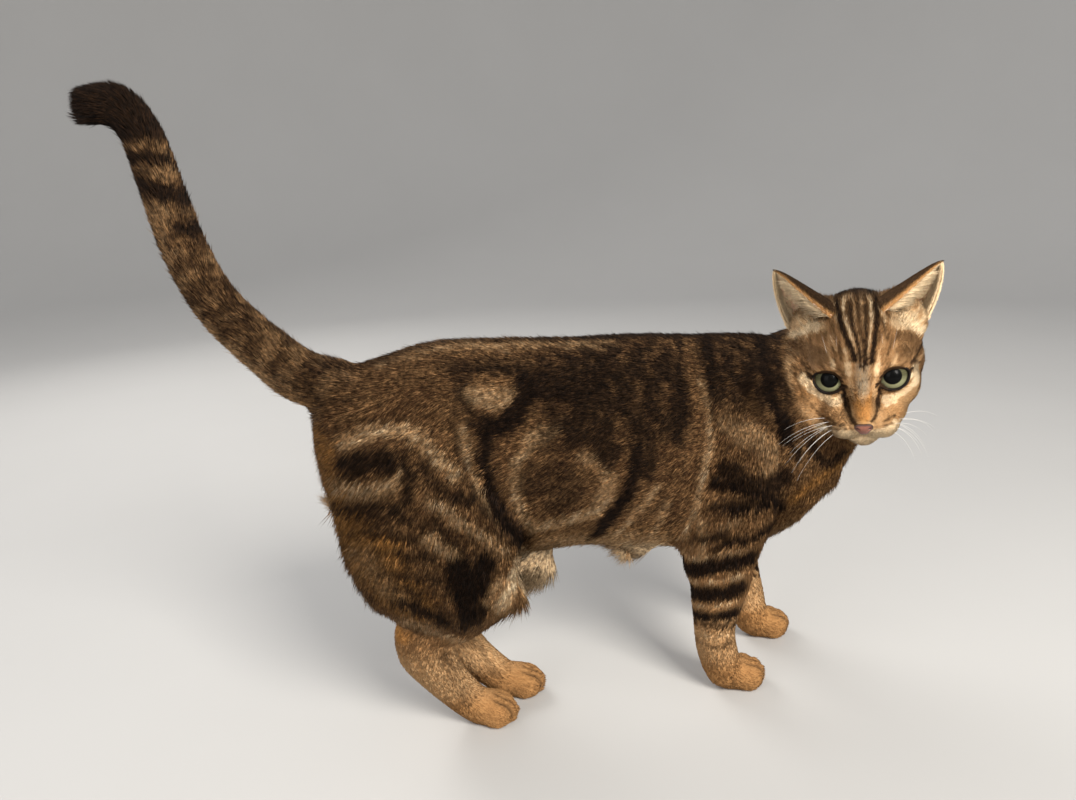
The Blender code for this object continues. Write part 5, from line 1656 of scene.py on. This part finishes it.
def ear_tufts(side):
    """Short dark fur over the back of the ear, a tan line on the edge nearer the crown, pale fur inside and
    along the outer edge, and the long hairs of the inside."""
    draw = np.random.default_rng(900 + side)
    wrap = math.radians(EAR_WRAP)
    crownward = crown_edge(side)
    shapes, amounts = [], []
    for count, low, high, first, last, inner, length, width, rise in EAR_FUR:
        height = draw.uniform(low, high, count)
        turn = draw.uniform(first, last, count) * wrap * crownward
        sunk = np.full(count, float(inner))
        place, normal, up = ear_frame_at(side, height, turn, sunk)
        flow = unit(up + 0.12 * np.cross(normal, up) * draw.normal(size=(count, 1)))
        shrink = (1 - 0.45 * np.clip(height, 0, 1)) * draw.uniform(0.75, 1.1, count)
        wide = width * draw.uniform(0.7, 1.1, count)
        high = rise * draw.uniform(0.5, 1, count)
        shapes.append(tuft_shapes(from_head(place), normal @ HEAD_AXES.T, flow @ HEAD_AXES.T, length * shrink,
                                  wide, high, draw))
        share = turn * crownward / wrap
        tan = smooth(0.84, 0.96, share)
        outer = smooth(0.70, 0.90, -share)
        dark = (1 - inner) * (0.92 - 0.80 * tan - 0.92 * outer)
        pale = inner * 0.95 + (1 - inner) * (0.25 * tan + 0.85 * outer)
        warm = (1 - inner) * (0.15 + 0.75 * tan) + 0.10
        amounts.append(np.stack([dark, pale, warm * (1 - pale), np.zeros(count)], axis=1))
    long_shapes, long_amounts = inner_hairs(side, draw)
    return np.concatenate([*shapes, long_shapes]), np.concatenate([*amounts, long_amounts])


def crown_edge(side):
    """1 where the ear's turn grows towards the edge nearer the crown, and -1 where it falls."""
    across = ear_directions(side)[4]
    return 1.0 if across[1] * side < 0 else -1.0


def inner_hairs(side, draw):
    """Long pale hairs rooted inside along both edges of an ear, lying up and outwards."""
    wrap = math.radians(EAR_WRAP)
    _, _, _, opening, across = ear_directions(side)
    nearer = crown_edge(side)
    shapes = []
    for count, low, high, first, last, least, most, short, long in INNER_HAIRS:
        height = draw.uniform(low, high, count)
        turn = nearer * wrap * draw.uniform(first, last, count)
        place, _, up = ear_frame_at(side, height, turn, np.ones(count))
        over = draw.uniform(least, most, (count, 1))
        flow = unit(up * 0.60 - nearer * across * over + opening * draw.uniform(0.0, 0.35, (count, 1)))
        length = draw.uniform(short, long, count) * (1 - 0.45 * height)
        facing = np.broadcast_to(opening @ HEAD_AXES.T, (count, 3))
        wide, high = np.full(count, INNER_HAIR_WIDTH), np.full(count, INNER_HAIR_RISE)
        shapes.append(tuft_shapes(from_head(place), facing, flow @ HEAD_AXES.T, length, wide, high, draw))
    made = np.concatenate(shapes)
    return made, np.tile(np.array((0.0, 1.0, 0.0, 0.0)), (len(made), 1))


def make_ear_coat(material):
    """The tufts of both ears as one piece, unwrapped round each ear, one half of the map for each."""
    shapes, amounts, maps = [], [], []
    for side in (-1, 1):
        made, shade = ear_tufts(side)
        local = to_head(made[:, 0]) - sided(EAR_ROOT, side)
        _, _, axis, opening, across = ear_directions(side)
        round_it = np.arctan2(local @ across, -(local @ opening)) / (2 * math.pi) + 0.5
        tall = local @ axis
        tall = (tall - tall.min()) / (tall.max() - tall.min())
        shapes.append(made)
        amounts.append(shade)
        maps.append(np.stack([round_it * 0.49 + (0.5 if side > 0 else 0.0), tall], axis=1))
    shapes, amounts, maps = np.concatenate(shapes), np.concatenate(amounts), np.concatenate(maps)
    chance = np.random.default_rng(77).random((len(shapes), 2))
    mesh = tuft_mesh("coat_ears", shapes, amounts, chance, np.ones(len(shapes)), maps)
    return new_object("coat_ears", mesh, material)


def hair(start, direction, length, bend, thick):
    """A tapered hair: start + direction * s + bend * s squared, as round sections."""
    share = np.linspace(0, 1, 18)[:, None]
    path = np.asarray(start) + np.asarray(direction) * length * share + np.asarray(bend) * length * share**2
    radii = thick * (1 - 0.80 * share[:, 0])
    return piped(path, radii, 6)


def pad_place(side, x, z):
    """A point of the whisker pad's side at that place forward and up in the head's frame."""
    centre, radii = HEAD_SIDE_FORMS["whisker_pad"]
    share = 1 - ((x - centre[0]) / radii[0]) ** 2 - ((z - centre[2]) / radii[2]) ** 2
    return from_head((x, (centre[1] + radii[1] * math.sqrt(max(share, 0.05)) - PAD_SUNK) * side, z))


def make_whiskers(material):
    """Three rows of whiskers from each pad, and a few longer hairs over each eye, in one mesh."""
    draw = np.random.default_rng(31)
    brow, brow_size = HEAD_SIDE_FORMS["brow"]
    made = []
    for side in (-1, 1):
        for row in range(3):
            for place in range(3):
                forward = WHISKER_START[0] + 0.0040 * place + 0.0005 * row
                start = pad_place(side, forward, WHISKER_START[1] - 0.0030 * row)
                along, aside = WHISKER_WAY[side]
                way = unit(np.array((along, aside, 0.16 - 0.26 * row - 0.12 * place + draw.normal(0, 0.06))))
                length = (0.041 - 0.003 * place - 0.003 * row) * draw.uniform(0.75, 1.05)
                bend = (-0.12 * along, 0.05, -0.34 + draw.normal(0, 0.06))
                made.append(hair(start, way, length, bend, WHISKER_THICK))
        for step in range(2):
            start = (brow[0] + 0.004, (brow[1] - 0.004 + 0.005 * step) * side, brow[2] + brow_size[2] * 0.80)
            way = unit(np.array((0.10, 0.20 * side * (step - 0.3), 1.0))) @ HEAD_AXES.T
            length = 0.016 + 0.003 * step
            made.append(hair(from_head(start), way, length, (0.02, 0.02, -0.10), BROW_HAIR_THICK))
    mesh = outwards(new_mesh("whiskers", *joined(made)))
    return new_object("whiskers", mesh, material)


def put(tree, kind, values=(), **settings):
    """A shader node with its settings, its inputs linked where a socket is given and filled where a value
    is."""
    made = tree.nodes.new(kind)
    for name, value in settings.items():
        setattr(made, name, value)
    for name, value in dict(values).items():
        if isinstance(value, bpy.types.NodeSocket):
            tree.links.new(value, made.inputs[name])
        else:
            made.inputs[name].default_value = value
    return made


def reckoned(tree, operation, *values):
    """What the named operation makes of the values, held between 0 and 1."""
    made = put(tree, "ShaderNodeMath", dict(enumerate(values)), operation=operation, use_clamp=True)
    return made.outputs[0]


def product(tree, first, second):
    """The first value times the second, held between 0 and 1."""
    return reckoned(tree, "MULTIPLY", first, second)


def fitted(tree, value, times, plus):
    """value * times + plus, held between 0 and 1."""
    return reckoned(tree, "MULTIPLY_ADD", value, times, plus)


def stepped(tree, value, low, high):
    """0 below low and 1 above high, softly."""
    made = put(tree, "ShaderNodeMapRange", {"Value": value, "From Min": low, "From Max": high},
               interpolation_type="SMOOTHSTEP")
    return made.outputs["Result"]


def blended(tree, amount, first, second, how="MIX"):
    """The first colour with that amount of the second mixed, or multiplied, into it."""
    values = {0: amount, 6: colour(first), 7: colour(second)}
    return put(tree, "ShaderNodeMix", values, data_type="RGBA", blend_type=how).outputs[2]


def colour(value):
    """A socket as it is, or three values with full cover."""
    return value if isinstance(value, bpy.types.NodeSocket) else (*value, 1.0)


def grain(tree, scale, detail=3.0, roughness=0.55, vector=None):
    """Soft noise from 0 to 1, about that many grains to the metre, along the surface or a given vector."""
    vector = vector or put(tree, "ShaderNodeTexCoord").outputs["Object"]
    return put(tree, "ShaderNodeTexNoise", {"Vector": vector, "Scale": scale, "Detail": detail,
                                           "Roughness": roughness}).outputs["Fac"]


def coat_colour_group():
    """Colour of a hair from its markings and its place along the strand. On short calm fur the hairs differ
    less, and their tips and roots are nearer to one colour."""
    tree = bpy.data.node_groups.new("coat_colour", "ShaderNodeTree")
    for name, kind in (("Marks", "Color"), ("Ash", "Float"), ("Strand", "Color"), ("Calm", "Float")):
        tree.interface.new_socket(name, in_out="INPUT", socket_type=f"NodeSocket{kind}")
    tree.interface.new_socket("Color", in_out="OUTPUT", socket_type="NodeSocketColor")
    given = tree.nodes.new("NodeGroupInput").outputs
    dark, pale, warm = put(tree, "ShaderNodeSeparateColor", {"Color": given["Marks"]}).outputs
    along, chance, second = put(tree, "ShaderNodeSeparateColor", {"Color": given["Strand"]}).outputs
    calm = given["Calm"]
    made = ground_colour(tree, chance, warm, given["Ash"], calm)
    made = blended(tree, stepped(tree, pale, 0.0, 0.60), made, blended(tree, chance, SAND, TICKED_TAN))
    made = blended(tree, stepped(tree, pale, 0.55, 1.0), made, CREAM)
    tipped = product(tree, stepped(tree, along, 0.45, 0.95), stepped(tree, second, 0.50, 0.60))
    tipped = product(tree, tipped, fitted(tree, pale, -0.85, 0.85))
    tipped = product(tree, tipped, fitted(tree, calm, -0.85, 1.0))
    made = blended(tree, tipped, made, BLACK_BROWN)
    black = blended(tree, stepped(tree, chance, 0.2, 1.0), BLACK_BROWN, TICKED_BROWN)
    made = blended(tree, dark, made, blended(tree, 0.80, black, BLACK_BROWN))
    root = product(tree, stepped(tree, along, 0.55, 0.0), 0.55)
    root = product(tree, root, fitted(tree, calm, -0.70, 1.0))
    made = blended(tree, root, made, blended(tree, 0.85, made, UNDERCOAT, "MULTIPLY"))
    bright = brightness(tree, chance, calm)
    grey = put(tree, "ShaderNodeCombineColor", {0: bright, 1: bright, 2: bright}).outputs[0]
    made = blended(tree, 1.0, made, grey, "MULTIPLY")
    tree.links.new(made, tree.nodes.new("NodeGroupOutput").inputs["Color"])
    return tree


def ground_colour(tree, chance, warm, ash, calm):
    """Brown and tan hairs, patch by patch and hair by hair, with the warm and the ash amounts over them."""
    patch = stepped(tree, grain(tree, 55.0), 0.36, 0.66)
    picked = product(tree, stepped(tree, chance, 0.25, 1.0), 0.60)
    lively = fitted(tree, patch, 0.30, picked)
    lively = product(tree, lively, fitted(tree, calm, -0.70, 1.0))
    lively = fitted(tree, calm, 0.50, lively)
    made = blended(tree, lively, TICKED_BROWN, TICKED_TAN)
    made = blended(tree, product(tree, warm, 0.85), made, OCHRE)
    return blended(tree, ash, made, ASH)


def brightness(tree, chance, calm):
    """How bright a hair is beside its neighbours, from its own chance and from flecks in the coat."""
    fleck = stepped(tree, grain(tree, 420.0, 2.0), 0.34, 0.66)
    flecked = product(tree, fleck, fitted(tree, calm, -0.45, 0.55))
    steady = fitted(tree, calm, 0.52, 0.22)
    return reckoned(tree, "ADD", flecked, fitted(tree, chance, 0.25, steady))


def new_material(name, **values):
    """A material, its tree and its shader, whose named inputs take the given values."""
    material = bpy.data.materials.new(name)
    material.use_nodes = True
    shader = material.node_tree.nodes["Principled BSDF"]
    for key, value in values.items():
        shader.inputs[key.replace("_", " ")].default_value = value
    return material, material.node_tree, shader


def pitted(tree, shader, height, strength, distance):
    """Gives the shader small pits of that height, strength and depth."""
    bump = put(tree, "ShaderNodeBump", {"Height": height, "Strength": strength, "Distance": distance})
    tree.links.new(bump.outputs["Normal"], shader.inputs["Normal"])


def three_parts(tree, attribute):
    """The three values that the points carry under the attribute's name."""
    values = put(tree, "ShaderNodeAttribute", attribute_name=attribute).outputs["Color"]
    return put(tree, "ShaderNodeSeparateColor", {"Color": values}).outputs


def coat_material(name, group, bump_scale, **values):
    """Fur: the group's colour from the piece's own attributes, with a fine grain along the surface."""
    material, tree, shader = new_material(name, **values)
    marks_at = put(tree, "ShaderNodeAttribute", attribute_name="marks").outputs
    strand = put(tree, "ShaderNodeAttribute", attribute_name="strand").outputs
    given = {"Marks": marks_at["Color"], "Ash": marks_at["Alpha"], "Strand": strand["Color"],
             "Calm": strand["Alpha"]}
    coat = put(tree, "ShaderNodeGroup", node_tree=group)
    for key, value in given.items():
        tree.links.new(value, coat.inputs[key])
    tree.links.new(coat.outputs["Color"], shader.inputs["Base Color"])
    pitted(tree, shader, grain(tree, bump_scale), 0.35, 0.0006)
    return material


def eye_material():
    """Round pupil, a green to amber iris with fine spokes and a dark edge, painted lighter towards its bottom
    with the lid's shadow painted as its darker top, under a wet coat.
    """
    material, tree, shader = new_material("eye_finish", Roughness=0.40, Specular_IOR_Level=0.04,
                                          Coat_Weight=0.07, Coat_Roughness=0.03)
    place = put(tree, "ShaderNodeAttribute", attribute_name="iris").outputs
    _, rise, out = put(tree, "ShaderNodeSeparateColor", {"Color": place["Color"]}).outputs
    flat = put(tree, "ShaderNodeVectorMath", {0: place["Vector"], 1: (1.0, 1.0, 0.0)}, operation="MULTIPLY")
    way = put(tree, "ShaderNodeVectorMath", {0: flat.outputs[0]}, operation="NORMALIZE")
    spokes = grain(tree, 9.0, 4.0, 0.7, way.outputs[0])
    iris = blended(tree, stepped(tree, spokes, 0.32, 0.68), IRIS_GREEN, IRIS_AMBER)
    # painted light and shade: the iris lighter towards its bottom, its top left darker as the lid's shadow
    iris = blended(tree, stepped(tree, rise, 0.10, -0.50), iris, IRIS_PAINTED_LIGHT)
    iris = blended(tree, stepped(tree, out, IRIS_EDGE - 0.10, IRIS_EDGE), iris, IRIS_RIM)
    iris = blended(tree, stepped(tree, out, PUPIL_EDGE + 0.02, PUPIL_EDGE - 0.02), iris, PUPIL_BLACK)
    white = stepped(tree, out, IRIS_EDGE, IRIS_EDGE + 0.06)
    tree.links.new(blended(tree, white, iris, EYE_WHITE), shader.inputs["Base Color"])
    return material


def nose_material():
    """Pebbled leather: rose in the middle, darker towards its rim, and black in the nostrils as painted shade
    of their openings.
    """
    material, tree, shader = new_material("nose_finish", Roughness=0.42)
    share, dent, _ = three_parts(tree, "tone")
    vector = put(tree, "ShaderNodeTexCoord").outputs["Object"]
    pebbles = put(tree, "ShaderNodeTexVoronoi", {"Vector": vector, "Scale": 2400.0})
    made = blended(tree, stepped(tree, grain(tree, 400.0), 0.3, 0.7), NOSE_ROSE, NOSE_BRICK)
    made = blended(tree, stepped(tree, share, 0.66, 0.98), made, NOSE_DARK)
    # painted shade: the nostrils' shallow dents are painted black, as their dark openings
    made = blended(tree, stepped(tree, dent, 0.30, 0.8), made, PUPIL_BLACK)
    tree.links.new(made, shader.inputs["Base Color"])
    pitted(tree, shader, pebbles.outputs["Distance"], 0.4, 0.0002)
    return material


def ear_material():
    """Thin skin: brown outside, rose inside and deeper towards the root, with faint veins."""
    material, tree, shader = new_material("ear_finish", Roughness=0.60, Subsurface_Weight=0.12)
    shader.inputs["Subsurface Radius"].default_value = (0.003, 0.0012, 0.0008)
    wall, turn, height = three_parts(tree, "tone")
    inside = blended(tree, stepped(tree, grain(tree, 180.0), 0.35, 0.70), EAR_ROSE, EAR_CREAM)
    inside = blended(tree, stepped(tree, height, 0.35, 0.0), inside, EAR_DEEP)
    outside = blended(tree, stepped(tree, turn, 0.80, 0.97), BLACK_BROWN, EAR_CREAM)
    inner = stepped(tree, wall, 0.35, 0.65)
    tree.links.new(blended(tree, inner, outside, inside), shader.inputs["Base Color"])
    pitted(tree, shader, grain(tree, 900.0), 0.3, 0.0003)
    return material


def plain_finish(name, base, second, scale, roughness, gloss=0.5):
    """A finish of two near colours in fine grain, such as lid rims and whiskers."""
    material, tree, shader = new_material(name, Roughness=roughness, Specular_IOR_Level=gloss)
    made = blended(tree, stepped(tree, grain(tree, scale), 0.3, 0.7), base, second)
    tree.links.new(made, shader.inputs["Base Color"])
    return material


def make_floor():
    """A round pale floor whose edge turns up into a wall: a flat disc, a quarter circle, then straight up."""
    bend = FLOOR_WALL - FLOOR_FLAT
    turn = np.radians(np.linspace(0, 90, 24))
    reach = np.concatenate([FLOOR_RINGS, FLOOR_FLAT + bend * np.sin(turn), [FLOOR_WALL]])[:, None]
    rise = np.concatenate([np.zeros(len(FLOOR_RINGS)), bend * (1 - np.cos(turn)), [FLOOR_HEIGHT]])[:, None]
    around = np.linspace(0, 2 * math.pi, FLOOR_SIDES, endpoint=False)[None, :]
    grid = np.stack(np.broadcast_arrays(reach * np.cos(around), reach * np.sin(around), rise), -1)
    mesh = new_mesh("floor", grid.reshape(-1, 3) - STAND, tube_faces(len(reach), FLOOR_SIDES))
    centre = new_mesh("floor_centre", grid[0] - STAND, [tuple(range(FLOOR_SIDES))])
    material, tree, shader = new_material("floor_finish", Roughness=0.80)
    made = blended(tree, grain(tree, 3.0), FLOOR_PALE, FLOOR_PALER)
    tree.links.new(made, shader.inputs["Base Color"])
    for part in (mesh, centre):
        new_object(part.name, part, material)


def soft_light(name, place, aim, size, power, tint):
    """A square light of that size at a place, turned towards its aim."""
    data = bpy.data.lights.new(name, "AREA")
    data.size = size
    data.energy = power
    data.color = tint
    light = bpy.data.objects.new(name, data)
    bpy.context.scene.collection.objects.link(light)
    light.location = place
    away = Vector(place) - Vector(aim)
    light.rotation_euler = away.to_track_quat("Z", "Y").to_euler()


def make_camera():
    """The photograph's camera, from its lens, axes and place."""
    data = bpy.data.cameras.new("camera")
    data.sensor_width = 36
    data.lens = CAMERA_LENS
    camera = bpy.data.objects.new("camera", data)
    bpy.context.scene.collection.objects.link(camera)
    axes = Matrix(CAMERA_AXES).transposed().to_4x4()
    camera.matrix_world = Matrix.Translation(Vector(CAMERA_PLACE) + Vector(STAND)) @ axes
    bpy.context.scene.camera = camera


def place_piece(piece, nodes):
    """Lets the piece ride on the still body, in place of the nodes where any are given."""
    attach(piece, "root")
    if nodes:
        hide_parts(*nodes)


def light_room():
    """Even light from all round, and the lights of the table."""
    world = bpy.data.worlds.new("room")
    bpy.context.scene.world = world
    world.use_nodes = True
    background = world.node_tree.nodes["Background"]
    background.inputs["Color"].default_value = (*ROOM_TINT, 1)
    background.inputs["Strength"].default_value = ROOM_LIGHT
    for name, (place, aim, size, power, tint) in LIGHTS.items():
        soft_light(name, place, aim, size, power, tint)


def make_cat():
    """Every piece of the animal in its place."""
    group = coat_colour_group()
    fur = coat_material("fur_finish", group, 1500.0, Roughness=0.65, Specular_IOR_Level=0.10)
    base = coat_material("skin_finish", group, 900.0, Roughness=0.80, Specular_IOR_Level=0.06)
    skin = make_skin(base)
    place_piece(skin, FLESH)
    for piece in make_coat(skin, fur):
        place_piece(piece, ())
    eye, nose, ear = eye_material(), nose_material(), ear_material()
    rim = plain_finish("lid_finish", LID_BLACK, LID_BROWN, 700.0, 0.60, 0.08)
    horn = plain_finish("whisker_finish", WHISKER_WHITE, WHISKER_GREY, 300.0, 0.30)
    for side in (-1, 1):
        place_piece(make_eye(side, eye), (f"eye_{SIDES[side]}",))
        place_piece(make_lid_rim(side, rim), ())
        place_piece(make_ear(side, ear), (f"ear_{SIDES[side]}",))
    place_piece(make_nose(nose), ("nose",))
    place_piece(make_ear_coat(fur), ())
    place_piece(make_whiskers(horn), ())


bpy.context.scene.view_settings.view_transform = "Standard"
make_camera()
make_floor()
light_room()
make_cat()
bpy.context.view_layer.update()
